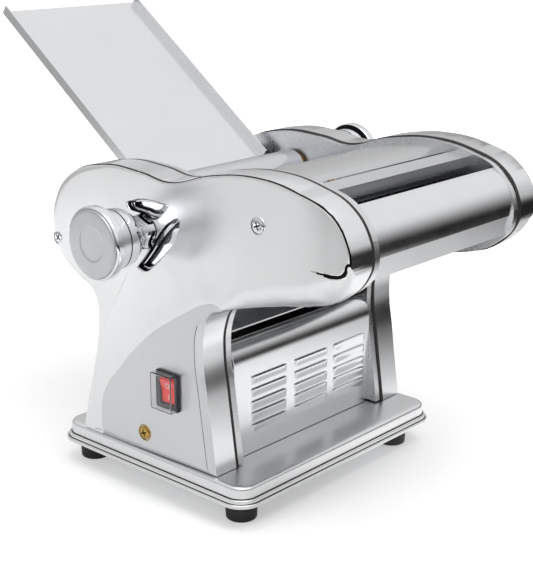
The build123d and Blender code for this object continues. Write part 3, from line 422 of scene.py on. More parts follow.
# a smooth line through points in millimetres, made a mesh; it turns sharply at its corners
def drawLine(name, points, closed, corners=(), steps=8):
    startAlone()
    bpy.ops.curve.primitive_bezier_curve_add()
    curve = bpy.context.object
    curve.name = name
    curve.data.dimensions = "3D"
    curve.data.resolution_u = steps
    spline = curve.data.splines[0]
    spline.bezier_points.add(len(points) - 2)
    spline.use_cyclic_u = closed
    for place, point in enumerate(points):
        knot = spline.bezier_points[place]
        knot.handle_left_type = knot.handle_right_type = "VECTOR" if place in corners else "AUTO"
        knot.co = Vector(point) * mm
    bpy.ops.object.convert(target="MESH")
    return curve


# in edit mode, selects only the edges or faces that pass a test on their middle, in millimetres
def pick(piece, kind, test):
    bpy.ops.mesh.select_mode(type=kind)
    bpy.ops.mesh.select_all(action="DESELECT")
    mesh = bmesh.from_edit_mesh(piece.data)
    for item in mesh.edges if kind == "EDGE" else mesh.faces:
        middle = sum((vert.co for vert in item.verts), Vector()) / len(item.verts)
        if test(middle / mm, item):
            item.select_set(True)
    bmesh.update_edit_mesh(piece.data)


def pickRim():
    bpy.ops.mesh.select_mode(type="EDGE")
    bpy.ops.mesh.select_all(action="DESELECT")
    bpy.ops.mesh.select_non_manifold(
        extend=False, use_wire=False, use_multi_face=False, use_non_contiguous=False, use_verts=False
    )


def applyModifier(piece, kind, **settings):
    bpy.context.view_layer.objects.active = piece
    bpy.ops.object.modifier_add(type=kind)
    modifier = piece.modifiers[-1]
    for name, value in settings.items():
        setattr(modifier, name, value)
    bpy.ops.object.modifier_apply(modifier=modifier.name)


# merges doubles, turns every face outwards, and leaves the piece active and alone in the selection
def clean(piece, inside=False):
    bpy.ops.object.mode_set(mode="OBJECT")
    joined(piece.name, [piece])
    applyPlace()
    editAll()
    bpy.ops.mesh.select_mode(type="VERT")
    bpy.ops.mesh.select_all(action="SELECT")
    bpy.ops.mesh.remove_doubles(threshold=0.002 * mm)
    bpy.ops.mesh.normals_make_consistent(inside=inside)
    bpy.ops.object.mode_set(mode="OBJECT")


# cleans an open sheet, and turns it over if it faces against the axis
def cleanSheet(piece, axis, way):
    clean(piece)
    if way * sum(face.normal[axis] * face.area for face in piece.data.polygons) < 0:
        clean(piece, inside=True)


def joined(name, pieces):
    startAlone()
    for piece in pieces:
        piece.select_set(True)
    bpy.context.view_layer.objects.active = pieces[0]
    if len(pieces) > 1:
        bpy.ops.object.join()
    pieces[0].name = name
    return pieces[0]


def copyOf(piece, name):
    other = piece.copy()
    other.data = piece.data.copy()
    other.name = name
    bpy.context.collection.objects.link(other)
    return other


def handOver(piece, body, slotName, materials, *replaced, angle=30):
    joined(piece.name, [piece])
    bpy.ops.object.shade_smooth_by_angle(angle=math.radians(angle))
    indexes = [face.material_index for face in piece.data.polygons]
    piece.data.materials.clear()
    for material in materials:
        piece.data.materials.append(material)
    piece.data.polygons.foreach_set("material_index", indexes)
    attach(piece, body)
    if replaced:
        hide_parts(*replaced)
    print("made", piece.name, len(piece.data.polygons))


mainFace, archPanel, rearScoop, belly = range(4)

# side covers: a deep pressing with a bulged face, a flat arch panel, a scooped rear leg and a soft belly
# under the nose; outlines and lines are Y, Z, and the third figure of an outline point is its edge radius
coverSet = {
    "face": 108.5,
    "rim": 85.0,
    "sheet": 1.2,
    "grid": [(1, -190, 92), (2, 35, 252)],  # axis and reach of the cuts that lie a cell apart
    "cell": 2.5,
    "rings": (0.15, 0.45, 0.5, 0.6, 0.9, 1.6, 0.55, 1.7),  # widths of the rings inside each region's edge
    "keep": 0.7,  # share of its distance from the edge that a ring's corner may fall to
    "backAndTop": [
        (60.0, 34.0, 0.6), (50.0, 81.0, 2.0), (43.0, 118.0, 3.0), (46.5, 141.5, 5.0),
        (64.5, 152.5, 6.0), (81.6, 165.5, 6.5), (89.4, 184.0, 7.0), (84.8, 207.0, 6.5),
        (66.5, 227.0, 5.0), (27.5, 239.5, 2.0), (-11.5, 239.3, 1.4), (-38.5, 236.2, 1.4),
        (-76.5, 246.0, 1.4), (-113.5, 250.3, 1.4), (-147.5, 246.3, 1.4), (-175.5, 235.0, 1.4),
        (-188.5, 217.0, 1.4),
    ],
    "bellyAndLeg": [
        (-190.05, 208.0, 2.0), (-189.3, 198.7, 11.0), (-171.5, 178.5, 18.0), (-150.0, 170.5, 18.0),
        (-128.0, 165.8, 18.0), (-105.0, 160.9, 14.0), (-86.4, 156.9, 2.5), (-74.0, 151.5, 1.2),
        (-66.0, 136.0, 4.2), (-64.5, 118.0, 4.2), (-68.1, 90.0, 4.2), (-76.0, 34.0, 4.2),
    ],
    "legPoints": 6,
    "legBand": (0.95, 0.1),  # how far the band down the front of the leg falls, and its hollow
    "legStart": 0.2,
    "foot": [(39.0, 34.0, 0.6), (49.0, 34.0, 0.6)],
    "inside": {archPanel: (-30.0, 90.0), rearScoop: (40.0, 125.0), belly: (-120.0, 172.0)},
    "noseFall": 2.2,
    "noseReach": 14.0,
    "noseFrom": (150.0, 25.0),
    # seam: widths along the crease of a groove sunk by seamDeep, whose faces paintCover paints with painted
    # shade
    "seam": [
        *(0.0, 0.45, 0.5, 0.5, 0.5, 0.5, 0.5, 0.5, 0.5),  # along the top
        *(0.5, 0.55, 0.7, 0.95, 1.25, 1.3, 1.3, 0.9, 0.0),  # down the nose and round the hook
    ],
    "seamStart": 6,  # numbers of the points of backAndTop and hookLine between which the seam runs
    "seamEnd": 6,
    "seamDeep": 0.6,
    "seamEdge": 0.35,
    # legSeam: a band of faces along the leg's crease that gets painted shade
    "legSeam": (4.3, 4.7),
    "legSeamTop": 141.0,
    "archLine": [
        (-86.4, 156.9), (-81.5, 160.0), (-71.1, 158.6), (-53.0, 148.8), (-34.3, 137.1),
        (-14.8, 123.1), (3.1, 106.5), (19.1, 89.0), (30.1, 77.0), (37.0, 64.0), (39.0, 50.0),
        (39.0, 34.0),
    ],
    "archRoll": (0.0, 0.2, 0.7, 1.0, 1.0, 1.0, 0.9, 0.6, 0.3, 0.1, 0.0, 0.0),
    "archStep": 0.45,
    "archEdge": 0.2,
    "scoopLine": [
        (49.0, 34.0), (48.2, 45.0), (47.2, 59.6), (43.4, 75.4), (38.2, 95.2), (30.5, 117.0),
        (21.7, 136.8), (13.3, 152.6), (4.7, 166.4), (-4.0, 190.0), (-9.0, 215.0), (-11.5, 239.3),
    ],
    "scoopSink": (0.0, 0.0, 0.35, 0.8, 1.0, 1.0, 1.0, 0.9, 0.6, 0.0, 0.0, 0.0),
    "hookLine": [
        (-190.05, 208.0), (-188.4, 207.0), (-187.0, 203.0), (-184.2, 199.8), (-178.8, 198.4),
        (-171.5, 198.6), (-160.0, 199.0), (-130.0, 194.0), (-95.0, 186.0), (-62.0, 176.0),
        (-47.0, 162.0), (-53.0, 148.8),
    ],
    "roll": 1.8,
    "rollReach": 5.0,
    "rollSpan": 45.0,
    "scoop": 3.0,
    "scoopSpan": 35.0,
    "scoopEdge": 1.6,
    "cutter": (4.0, 8.0),  # an opening's tube starts this far out, and is this long
    "screwHole": 2.2,
    "shaftHole": 7.0,
}
knobAxis = (-13.5, 198.5)
handKnobAxis = (12.459, 212.302)
screwPlaces = {"chrome": [(-118.5, 220.0), (80.0, 178.0)], "brass": [(-7.9, 48.5)]}
coverOutline = coverSet["backAndTop"] + coverSet["bellyAndLeg"] + coverSet["foot"]
hookAt = len(coverSet["backAndTop"])  # numbers of the outline points where the hook and the foot start
footAt = hookAt + len(coverSet["bellyAndLeg"]) - 1
coverCorners = (0, footAt, footAt + 1, footAt + 2)
perKnot = 8  # what drawLine puts between two points of a curve


def sampled(points):
    line = drawLine("featureLine", [(0, y, z) for y, z in points], False)
    found = [(v.co.y / mm, v.co.z / mm) for v in line.data.vertices]
    bpy.data.objects.remove(line)
    return found


# distance from places to a line, and the value given along the line at the nearest spot
def nearest(places, line, values=None, step=0.4, batch=2000):
    line = np.array(line, float)
    run = np.concatenate([[0], np.cumsum(np.hypot(*np.diff(line, axis=0).T))])
    dense = np.arange(0, run[-1] + step, step)
    spots = np.stack([np.interp(dense, run, line[:, axis]) for axis in (0, 1)], 1)
    if values is not None:
        values = np.interp(np.linspace(0, 1, len(line)), np.linspace(0, 1, len(values)), values)
    gaps = np.empty(len(places))
    found = np.zeros(len(places))
    for start in range(0, len(places), batch):
        some = slice(start, start + batch)
        away = ((places[some][:, None] - spots[None]) ** 2).sum(2)
        gaps[some] = np.sqrt(away.min(1))
        if values is not None:
            found[some] = np.interp(dense, run, values)[away.argmin(1)]
    return gaps, found


# how deep places lie inside a closed outline, negative outside
def depthInside(places, loop):
    along = np.roll(loop, -1, axis=0) - loop
    away = places[:, None] - loop[None]
    share = np.clip((away * along).sum(2) / (along**2).sum(1), 0, 1)
    gap = np.hypot(*np.moveaxis(away - share[..., None] * along, 2, 0)).min(1)
    above = away[..., 1] < 0
    crossing = (above != np.roll(above, -1, axis=1)) & (
        away[..., 0] < along[:, 0] * away[..., 1] / np.where(along[:, 1] == 0, 1, along[:, 1])
    )
    return np.where(crossing.sum(1) % 2 == 1, gap, -gap)


# how far a rounded edge has fallen at a distance from the outline
def edgeDrop(gap, radius):
    depth = np.clip(radius - gap, 0, None)
    return radius - np.sqrt(np.clip(radius**2 - depth**2, 0, None))


def flatPlaces(items):
    return np.array([item[1:] for item in items]) / mm


def innermost(mesh, region):
    return max((f for f in mesh.faces if f.material_index == region), key=bmesh.types.BMFace.calc_area)


# parts the flat face along the feature lines, and numbers its regions
def partRegions(cover, x, lines):
    mesh = bmesh.from_edit_mesh(cover.data)
    for key, samples in lines.items():
        ends = []
        for y, z in (coverSet[key][0], coverSet[key][-1]):
            spot = Vector((x, y * mm, z * mm))
            ends.append(min(mesh.verts, key=lambda vert: (vert.co - spot).length))
        middle = Vector((x, samples[len(samples) // 2][0] * mm, samples[len(samples) // 2][1] * mm))
        faces = [face for face in mesh.faces if all(end in face.verts for end in ends)]
        face = max(faces, key=lambda one: bmesh.geometry.intersect_face_point(one, middle))
        way = list(samples[1:-1])
        if key == "scoopLine":  # close steps where it meets the rounded edge
            end, before = np.array(samples[-1]), np.array(samples[-2])
            toward = (before - end) / np.linalg.norm(before - end)
            way += [tuple(end + toward * away) for away in np.cumsum(coverSet["rings"])[4::-1]]
        way = [Vector((x, y * mm, z * mm)) for y, z in way]
        bmesh.utils.face_split(face, ends[0], ends[1], coords=way)
        mesh.faces.ensure_lookup_table()
    for face in mesh.faces:
        face.material_index = mainFace
        for region, (y, z) in coverSet["inside"].items():
            if bmesh.geometry.intersect_face_point(face, Vector((x, y * mm, z * mm))):
                face.material_index = region
    bmesh.update_edit_mesh(cover.data)


# close rings inside the edge of each region, for its rounding
def insetRings(cover):
    mesh = bmesh.from_edit_mesh(cover.data)
    loops = {f.material_index: flatPlaces([vert.co for vert in f.verts]) for f in mesh.faces}
    reached = 0.0
    for width in coverSet["rings"]:
        reached += width
        mesh = bmesh.from_edit_mesh(cover.data)
        inner = [innermost(mesh, region) for region in loops]
        bpy.ops.mesh.select_all(action="DESELECT")
        for face in inner:
            face.select_set(True)
        bmesh.update_edit_mesh(cover.data)
        bpy.ops.mesh.inset(thickness=width * mm, use_individual=True, use_boundary=True)
        # a corner that shot past its neighbours falls back on the nearest one that kept its distance
        mesh = bmesh.from_edit_mesh(cover.data)
        for face in [face for face in mesh.faces if face.select]:
            verts = list(face.verts)
            count = len(verts)
            depth = depthInside(flatPlaces([vert.co for vert in verts]), loops[face.material_index])
            good = [place for place in range(count) if depth[place] > coverSet["keep"] * reached]
            for place in set(range(count)) - set(good):
                near = min(good, key=lambda other: min((other - place) % count, (place - other) % count))
                verts[place].co = verts[near].co
            bmesh.ops.remove_doubles(mesh, verts=verts, dist=0.02 * mm)
        bmesh.update_edit_mesh(cover.data)


# each item once, in the order found, so that every run cuts the same mesh
def inOrder(items):
    return list(dict.fromkeys(items))


# a grid of cuts inside each region; its number goes up by 4, to mark the pieces that a cut makes
def cutGrid(mesh):
    for face in [innermost(mesh, region) for region in range(4)]:
        face.material_index += 4
    for axis, low, high in coverSet["grid"]:
        for value in np.arange(low, high, coverSet["cell"]) * mm:
            across = []
            for face in mesh.faces:
                if face.material_index > 3:
                    reach = [vert.co[axis] for vert in face.verts]
                    if min(reach) < value < max(reach):
                        across.append(face)
            if across:
                touched = across + inOrder(edge for face in across for edge in face.edges)
                touched += inOrder(vert for face in across for vert in face.verts)
                place = Vector((0, 0, 0))
                normal = Vector((0, 0, 0))
                place[axis] = value
                normal[axis] = 1
                bmesh.ops.bisect_plane(mesh, geom=touched, dist=1e-7, plane_co=place, plane_no=normal)
    for face in mesh.faces:
        face.material_index %= 4
    bmesh.ops.triangulate(mesh, faces=[face for face in mesh.faces if len(face.verts) > 4])


# where the rings folded over in a corner, the faces there are made again
def mendFolds(mesh):
    for attempt in range(4):
        mesh.normal_update()
        way = math.copysign(1, sum(face.normal.x * face.calc_area() for face in mesh.faces))
        folded = [face for face in mesh.faces if face.normal.x * way < 0.5]
        again = list(folded)
        for face in folded:
            for vert in face.verts:
                again += [other for other in vert.link_faces if other.material_index == face.material_index]
        if again:
            made = bmesh.ops.dissolve_faces(mesh, faces=inOrder(again))["region"]
            bmesh.ops.triangulate(mesh, faces=made)


# how far each vertex stands out from the flat face, from the region it belongs to
def coverHeights(verts, ring, lines, seamLine):
    places = flatPlaces([vert.co for vert in verts])
    touch = np.array([[any(f.material_index == r for f in v.link_faces) for r in range(4)] for v in verts])
    region = np.where(touch[:, rearScoop], rearScoop, belly)
    region = np.where(touch[:, archPanel], archPanel, np.where(touch[:, mainFace], mainFace, region))
    radii = [radius for y, z, radius in coverOutline]
    radii = np.interp(np.arange(len(ring)) / perKnot, np.arange(len(radii)), radii)
    hook, foot = hookAt * perKnot, footAt * perKnot
    leg = (footAt - coverSet["legPoints"] + 1) * perKnot
    topRadii = radii[: hook + 1].copy()
    topRadii[(hookAt - 1) * perKnot :] = coverSet["backAndTop"][-1][2]
    gap, value = nearest(places, ring[: hook + 1], topRadii)
    upper = edgeDrop(gap, value)
    noseShare = np.clip((-places[:, 0] - coverSet["noseFrom"][0]) / coverSet["noseFrom"][1], 0, 1)
    noseShare = noseShare**2 * (region == mainFace)
    upper += coverSet["noseFall"] * np.exp(-gap / coverSet["noseReach"]) * noseShare
    lower = edgeDrop(*nearest(places, ring[hook : leg + 1], radii[hook : leg + 1]))
    legWidth = radii[leg : foot + 1].copy()
    legWidth[:perKnot] = np.linspace(coverSet["legStart"], legWidth[perKnot], perKnot)
    gap, value = nearest(places, ring[leg : foot + 1], legWidth)
    share = np.clip(gap / value, 0, 1)
    fall, hollow = coverSet["legBand"]
    band = value * (fall * (1 - share) - hollow * np.sin(math.pi * share))
    sole = edgeDrop(nearest(places, ring[foot:] + ring[:1])[0], coverSet["foot"][0][2])
    drop = np.where(region == belly, lower, np.where(region == archPanel, 0, upper))
    drop = np.maximum(np.maximum(drop, sole), band)
    gap, value = nearest(places, lines["archLine"], coverSet["archRoll"])
    roll = (coverSet["roll"] - coverSet["archStep"]) * (1 - np.exp(-gap / coverSet["rollReach"]))
    roll = value * (roll + coverSet["archStep"] * (1 - np.exp(-gap / coverSet["archEdge"])))
    roll *= np.exp(-((gap / coverSet["rollSpan"]) ** 2))
    gap, value = nearest(places, lines["scoopLine"], coverSet["scoopSink"])
    sunk = coverSet["scoop"] * value * np.exp(-((gap / coverSet["scoopSpan"]) ** 2))
    turned = edgeDrop(gap, coverSet["scoopEdge"] * value + 1e-6)
    height = np.where(region == archPanel, 0, roll) - drop
    height -= np.where(region == rearScoop, sunk, np.where(region == mainFace, turned, 0))
    gap, value = nearest(places, seamLine, coverSet["seam"])
    return height - coverSet["seamDeep"] * np.clip((value - gap) / coverSet["seamEdge"], 0, 1)


# painted shade in the seams along the crease and the leg, polished walls, a brushed arch panel darkened
# with painted shade and buffed faces, by the order of coverFinishes
def paintCover(mesh, ring, seamLine):
    middles = flatPlaces([face.calc_center_median() for face in mesh.faces])
    gap, value = nearest(middles, seamLine, coverSet["seam"])
    leg = (footAt - coverSet["legPoints"] + 1) * perKnot
    legGap = nearest(middles, ring[leg : footAt * perKnot + 1])[0]
    legSeam = (legGap > coverSet["legSeam"][0]) & (legGap < coverSet["legSeam"][1])
    legSeam &= middles[:, 1] < coverSet["legSeamTop"]
    for place, face in enumerate(mesh.faces):
        if min(abs(vert.co.x) for vert in face.verts) < (coverSet["rim"] + 1) * mm:
            face.material_index = 0
        # faces in the seam and along the leg's crease get painted shade
        elif gap[place] < value[place] or legSeam[place]:
            face.material_index = 1
        else:
            face.material_index = 3 if face.material_index == archPanel else 2


def pressCover(name, side):
    lines = {key: sampled(coverSet[key]) for key in ("archLine", "scoopLine", "hookLine")}
    x = side * coverSet["face"]
    cover = drawLine(name, [(x, y, z) for y, z, radius in coverOutline], True, coverCorners)
    for material in coverFinishes:
        cover.data.materials.append(material)
    ring = [(v.co.y / mm, v.co.z / mm) for v in cover.data.vertices]
    hookLine = lines["hookLine"][1 : coverSet["seamEnd"] * perKnot + 1]
    seamLine = ring[coverSet["seamStart"] * perKnot : hookAt * perKnot + 1] + hookLine
    editAll()
    bpy.ops.mesh.edge_face_add()
    partRegions(cover, x * mm, lines)
    insetRings(cover)
    mesh = bmesh.from_edit_mesh(cover.data)
    cutGrid(mesh)
    mendFolds(mesh)
    verts = list(mesh.verts)
    for vert, up in zip(verts, coverHeights(verts, ring, lines, seamLine)):
        vert.co.x = (x + side * up) * mm
    bmesh.update_edit_mesh(cover.data)
    pickRim()
    bpy.ops.mesh.extrude_edges_move()
    mesh = bmesh.from_edit_mesh(cover.data)
    for vert in mesh.verts:
        if vert.select:
            vert.co.x = side * coverSet["rim"] * mm
    paintCover(mesh, ring, seamLine)
    bmesh.update_edit_mesh(cover.data)
    clean(cover)
    return cover


# cuts openings through the open sheet with tubes along their outlines, then gives it its thickness
def openCover(cover, side, outlines):
    out, long = coverSet["cutter"]
    tubes, rims = [], []
    for points, corners in outlines:
        start = side * (coverSet["face"] + out)
        tube = drawLine("openingTube", [(start, y, z) for y, z in points], True, corners, steps=6)
        rims.append(flatPlaces([vert.co for vert in tube.data.vertices]))
        editAll()
        bpy.ops.mesh.extrude_edges_move(TRANSFORM_OT_translate={"value": (-side * long * mm, 0, 0)})
        bpy.ops.object.mode_set(mode="OBJECT")
        tubes.append(tube)
    own = len(cover.data.polygons)
    cover = joined(cover.name, [cover] + tubes)
    bpy.ops.object.mode_set(mode="EDIT")
    bpy.ops.mesh.select_mode(type="FACE")
    bpy.ops.mesh.select_all(action="DESELECT")
    mesh = bmesh.from_edit_mesh(cover.data)
    mesh.faces.ensure_lookup_table()
    for face in mesh.faces[own:]:
        face.select_set(True)
    bmesh.update_edit_mesh(cover.data)
    bpy.ops.mesh.intersect(mode="SELECT_UNSELECT", separate_mode="CUT", solver="EXACT")
    bpy.ops.mesh.select_all(action="DESELECT")
    mesh = bmesh.from_edit_mesh(cover.data)
    least = coverSet["face"] + out - long - 0.1  # the tubes reach no deeper than this
    faces = [face for face in mesh.faces if abs(face.calc_center_median().x) > least * mm]
    middles = flatPlaces([face.calc_center_median() for face in faces])
    for rim in rims:  # what lies inside a tube goes, and so does the tube's own wall
        for face, depth in zip(faces, depthInside(middles, rim)):
            if depth > 0 or (abs(depth) < 0.2 and abs(face.normal.x) < 0.3):
                face.select_set(True)
    bmesh.update_edit_mesh(cover.data)
    bpy.ops.mesh.delete(type="FACE")
    cleanSheet(cover, 0, side)
    applyModifier(cover, "SOLIDIFY", thickness=coverSet["sheet"] * mm, offset=-1)
    return cover


def roundHole(place, radius):
    turns = [k * math.pi / 4 for k in range(8)]
    return [(place[0] + radius * math.cos(turn), place[1] + radius * math.sin(turn)) for turn in turns], ()


coverFinishes = (polishedSteel, paintedShadeSteel, finishes["buffed"], finishes["brushed"])
screws = screwPlaces["chrome"] + screwPlaces["brass"]
screwHoles = [roundHole(place, coverSet["screwHole"]) for place in screws]
openings = [roundHole(handKnobAxis, coverSet["shaftHole"])] + screwHoles
farShell = openCover(pressCover("farCoverShell", 1), 1, openings)
handOver(farShell, "frame", "polished_steel", coverFinishes, "far_cover", angle=28)

# a black strip in the gap between each cover and its frame plate, a painted shadow that darkens the gap
gapShadeSet = {"from": 82.45, "to": 85.05, "inset": 0.25, "wide": 2.4}
for name, side in (("near", -1), ("far", 1)):
    points = [(side * gapShadeSet["from"], y, z) for y, z, radius in coverOutline]
    gapShadeStrip = drawLine(name + "CoverGapShade", points, True, coverCorners)
    editAll()
    bpy.ops.mesh.edge_face_add()
    bpy.ops.mesh.inset(thickness=gapShadeSet["inset"] * mm)
    bpy.ops.mesh.select_all(action="INVERT")
    bpy.ops.mesh.delete(type="FACE")
    bpy.ops.mesh.select_all(action="SELECT")
    bpy.ops.mesh.inset(thickness=gapShadeSet["wide"] * mm)
    bpy.ops.mesh.delete(type="FACE")
    bpy.ops.mesh.select_all(action="SELECT")
    reach = side * (gapShadeSet["to"] - gapShadeSet["from"]) * mm
    bpy.ops.mesh.extrude_region_move(TRANSFORM_OT_translate={"value": (reach, 0, 0)})
    clean(gapShadeStrip)
    handOver(gapShadeStrip, "frame", "black_rubber", (finishes["black_rubber"],))

# finger pockets round the thickness knob: each is drawn flat about its own middle, then turned into place
pocketSet = {
    "eye": {
        "points": [
            (3.3, 215.0), (-2.7, 218.3), (-12.1, 220.6), (-23.4, 221.1), (-32.4, 220.6),
            (-39.0, 220.8), (-34.4, 215.4), (-27.5, 209.5), (-20.7, 207.6), (-11.6, 210.1),
        ],
        "corners": (5,),
        "long": 0.0,
    },
    "crescent": {
        "points": [
            (-47.5, 212.5), (-48.5, 209.1), (-46.1, 201.6), (-41.4, 192.9), (-33.3, 184.3),
            (-24.0, 176.0), (-13.4, 169.9), (-5.3, 171.6), (-13.8, 180.6), (-22.3, 192.7),
            (-30.6, 202.9), (-39.7, 210.0),
        ],
        "corners": (7,),
        "long": -44.0,
    },
    "start": 108.0,
    "lip": 0.9,
    "sheet": 0.4,
    "steps": [  # how far past the outline, and where along X
        (0.8, 108.75), (0.3, 108.8), (-0.1, 108.55), (-0.5, 107.9), (-0.7, 105.4), (-1.0, 105.0),
        (-2.6, 104.8), (-3.0, 104.4), (-3.4, 101.8),
    ],
}


def pocketTray(name, shape):
    points = [Vector(point) for point in shape["points"]]
    middle = sum(points, Vector((0, 0))) / len(points)
    turn = math.radians(shape["long"])
    along, up = (math.cos(turn), math.sin(turn)), (-math.sin(turn), math.cos(turn))
    flat = [((point - middle).dot(along), (point - middle).dot(up)) for point in points]
    tray = drawLine(name, [(-pocketSet["start"], y, z) for y, z in flat], True, shape["corners"], steps=6)
    wide, high = (max(point[k] for point in flat) - min(point[k] for point in flat) for k in (0, 1))
    editAll()
    before, x = pocketSet["lip"], pocketSet["start"]
    first = (1, (wide + 2 * before) / wide, (high + 2 * before) / high)
    bpy.ops.transform.resize(value=first, center_override=(0, 0, 0))
    for grown, depth in pocketSet["steps"]:
        bpy.ops.mesh.extrude_edges_move(TRANSFORM_OT_translate={"value": ((x - depth) * mm, 0, 0)})
        value = (1, (wide + 2 * grown) / (wide + 2 * before), (high + 2 * grown) / (high + 2 * before))
        bpy.ops.transform.resize(value=value, center_override=(0, 0, 0))
        before, x = grown, depth
    bpy.ops.mesh.edge_face_add()
    bpy.ops.object.mode_set(mode="OBJECT")
    tray.rotation_euler = (turn, 0, 0)
    tray.location = (0, middle.x * mm, middle.y * mm)
    clean(tray)
    return tray


# knobs: turned from a profile of distance along the axis and radius, with a satin disc let into the front
knobSet = {
    "body": [
        (109.4, 5.6), (109.4, 12.6), (110.2, 12.4), (114.0, 12.2), (118.5, 13.2), (123.0, 15.4),
        (126.8, 17.8), (128.8, 18.6), (129.2, 19.4), (130.0, 19.9), (137.6, 20.8), (137.9, 20.2),
        (138.4, 20.2), (138.7, 20.9), (144.6, 21.6), (145.4, 21.5), (145.8, 21.0), (146.4, 21.0),
        (146.8, 21.6), (147.2, 24.2), (147.6, 24.8), (148.3, 25.0), (153.2, 25.0), (154.0, 24.6),
        (154.5, 23.6), (154.2, 23.3), (152.0, 23.3), (152.0, 0.0),
    ],
    "bodyCorners": (0, 1, 7, 8, 10, 11, 12, 13, 15, 16, 17, 18, 19, 22, 24, 26, 27),
    "face": [
        (152.2, 0.0), (152.2, 23.2), (154.6, 23.2), (155.1, 22.9), (155.3, 22.3), (155.45, 16.0),
        (155.5, 12.0), (155.38, 11.4), (155.2, 11.0), (155.15, 9.0), (155.15, 0.0),
    ],
    "faceCorners": (0, 1, 2, 4, 6, 8, 10),
    "grooves": [(145.5, 147.05, 23.5), (137.7, 138.6, 25.0)],  # from, to, and their largest radius
    "shaftHole": 5.4,
    "spunAt": 155.0,
}


switchSet = {"place": (-34.0, 88.0), "hole": (20.0, 26.0)}
(y, z), (wide, high) = switchSet["place"], switchSet["hole"]
opening = [(y + a * wide / 2, z + b * high / 2) for a, b in ((-1, -1), (1, -1), (1, 1), (-1, 1))]
openings = [(pocketSet[key]["points"], pocketSet[key]["corners"]) for key in ("eye", "crescent")]
openings += [(opening, (0, 1, 2, 3)), roundHole(knobAxis, knobSet["shaftHole"])] + screwHoles
nearShell = openCover(pressCover("nearCoverShell", -1), -1, openings)
handOver(nearShell, "frame", "polished_steel", coverFinishes, "near_cover", angle=28)

pockets = joined("knobPockets", [pocketTray(key + "Tray", pocketSet[key]) for key in ("eye", "crescent")])
clean(pockets)
applyModifier(pockets, "SOLIDIFY", thickness=pocketSet["sheet"] * mm, offset=-1)
for face in pockets.data.polygons:  # their steep walls get painted shade
    face.material_index = int(abs(face.normal.x) < 0.5 and abs(face.center.x) < pocketSet["start"] * mm)
handOver(pockets, "frame", "polished_steel", (knobChrome, paintedShadeSteel), "index_plate", angle=35)


def turnPiece(name, profile, corners, axis, side, steps=96):
    points = [(side * x, axis[0], axis[1] + radius) for x, radius in profile]
    piece = drawLine(name, points, False, corners, steps=3)
    editAll()
    middle = (0, axis[0] * mm, axis[1] * mm)
    bpy.ops.mesh.spin(steps=steps, angle=2 * math.pi, center=middle, axis=(1, 0, 0))
    clean(piece)
    return piece


for kind, axis, side, body, old in (
    ("thickness", knobAxis, -1, "knob", "gap"),
    ("hand", handKnobAxis, 1, "rear_roller", "hand"),
):
    knob = turnPiece(kind + "KnobBody", knobSet["body"], knobSet["bodyCorners"], axis, side)
    for face in knob.data.polygons:  # the grooves between the rings get painted shade
        away = math.hypot(face.center.y / mm - axis[0], face.center.z / mm - axis[1])
        along = abs(face.center.x) / mm
        dark = [low < along < high and away < most for low, high, most in knobSet["grooves"]]
        face.material_index = int(any(dark))
    handOver(knob, body, "knob_chrome", (knobChrome, paintedShadeSteel), old + "_knob", angle=24)
    disc = turnPiece(kind + "KnobFace", knobSet["face"], knobSet["faceCorners"], axis, side)
    spun = spunFace("spunSatinAluminium" + kind.capitalize(), (side * knobSet["spunAt"], *axis))
    handOver(disc, body, "knob_disc", (spun,), old + "_knob_cap", angle=20)

# raised marks on the rocker: a ring above for off and a bar below for on
markSet = {
    "ring": {"place": (-109.5, -34.0, 91.6), "facing": (-0.96, 0.0, -0.28), "radius": 1.9, "thick": 0.26},
    "bar": {"place": (-108.12, -34.0, 82.9), "size": (0.3, 0.5, 3.4)},
}
startAlone()
bpy.ops.mesh.primitive_torus_add(
    major_radius=markSet["ring"]["radius"] * mm,
    minor_radius=markSet["ring"]["thick"] * mm,
    major_segments=40,
    minor_segments=10,
    location=Vector(markSet["ring"]["place"]) * mm,
    rotation=Vector(markSet["ring"]["facing"]).to_track_quat("Z", "Y").to_euler(),
)
ringMark = bpy.context.object
bpy.ops.mesh.primitive_cube_add(size=1, location=Vector(markSet["bar"]["place"]) * mm)
barMark = bpy.context.object
barMark.scale = Vector(markSet["bar"]["size"]) * mm
for mark in (ringMark, barMark):
    clean(mark)
rockerMarks = joined("rockerMarks", [ringMark, barMark])
handOver(rockerMarks, "rocker", "white_plastic", (finishes["white_plastic"],))

# cover screws: a domed head with a cross recess, standing in a rolled cup washer; one is made and copied
screwSet = {
    "profile": [
        (103.2, 0.0), (103.2, 2.0), (108.3, 2.0), (108.3, 6.3), (108.8, 6.2), (109.05, 5.9),
        (108.95, 5.4), (108.4, 5.3), (108.4, 4.85), (108.9, 4.8), (109.3, 4.3), (109.6, 3.2),
        (109.72, 1.8), (109.75, 0.0),
    ],
    "corners": (0, 1, 2, 3, 6, 7, 8, 9),
    "cross": (5.4, 1.1),
    "crossDeep": 1.3,
    "crossAt": 109.9,
    "dark": [(105.0, 109.55, 0.0, 3.0), (108.3, 110.0, 4.75, 5.45)],  # faces that get painted shade: from and to along X, then in radius
    "turns": (20, 35),  # how the first cross is turned, and each next one further, in degrees
    "lobeFrom": 50.0,  # the lobe's screw is set this deep into its rounded edge
    "lobeSunk": 0.8,
}
screw = turnPiece("screwPattern", screwSet["profile"], screwSet["corners"], (0, 0), 1, 40)
for turn in (0, math.pi / 2):
    startAlone()
    start = (screwSet["crossAt"] * mm, 0, 0)
    bpy.ops.mesh.primitive_cube_add(size=1, location=start, rotation=(turn, 0, 0))
    blade = bpy.context.object
    blade.scale = Vector((2 * screwSet["crossDeep"], *screwSet["cross"])) * mm
    applyPlace()
    applyModifier(screw, "BOOLEAN", operation="DIFFERENCE", solver="EXACT", object=blade)
    bpy.data.objects.remove(blade)
for face in screw.data.polygons:  # the cross and the groove round the head get painted shade
    away = math.hypot(face.center.y, face.center.z) / mm
    dark = [a < face.center.x / mm < b and c <= away < d for a, b, c, d in screwSet["dark"]]
    face.material_index = int(any(dark))
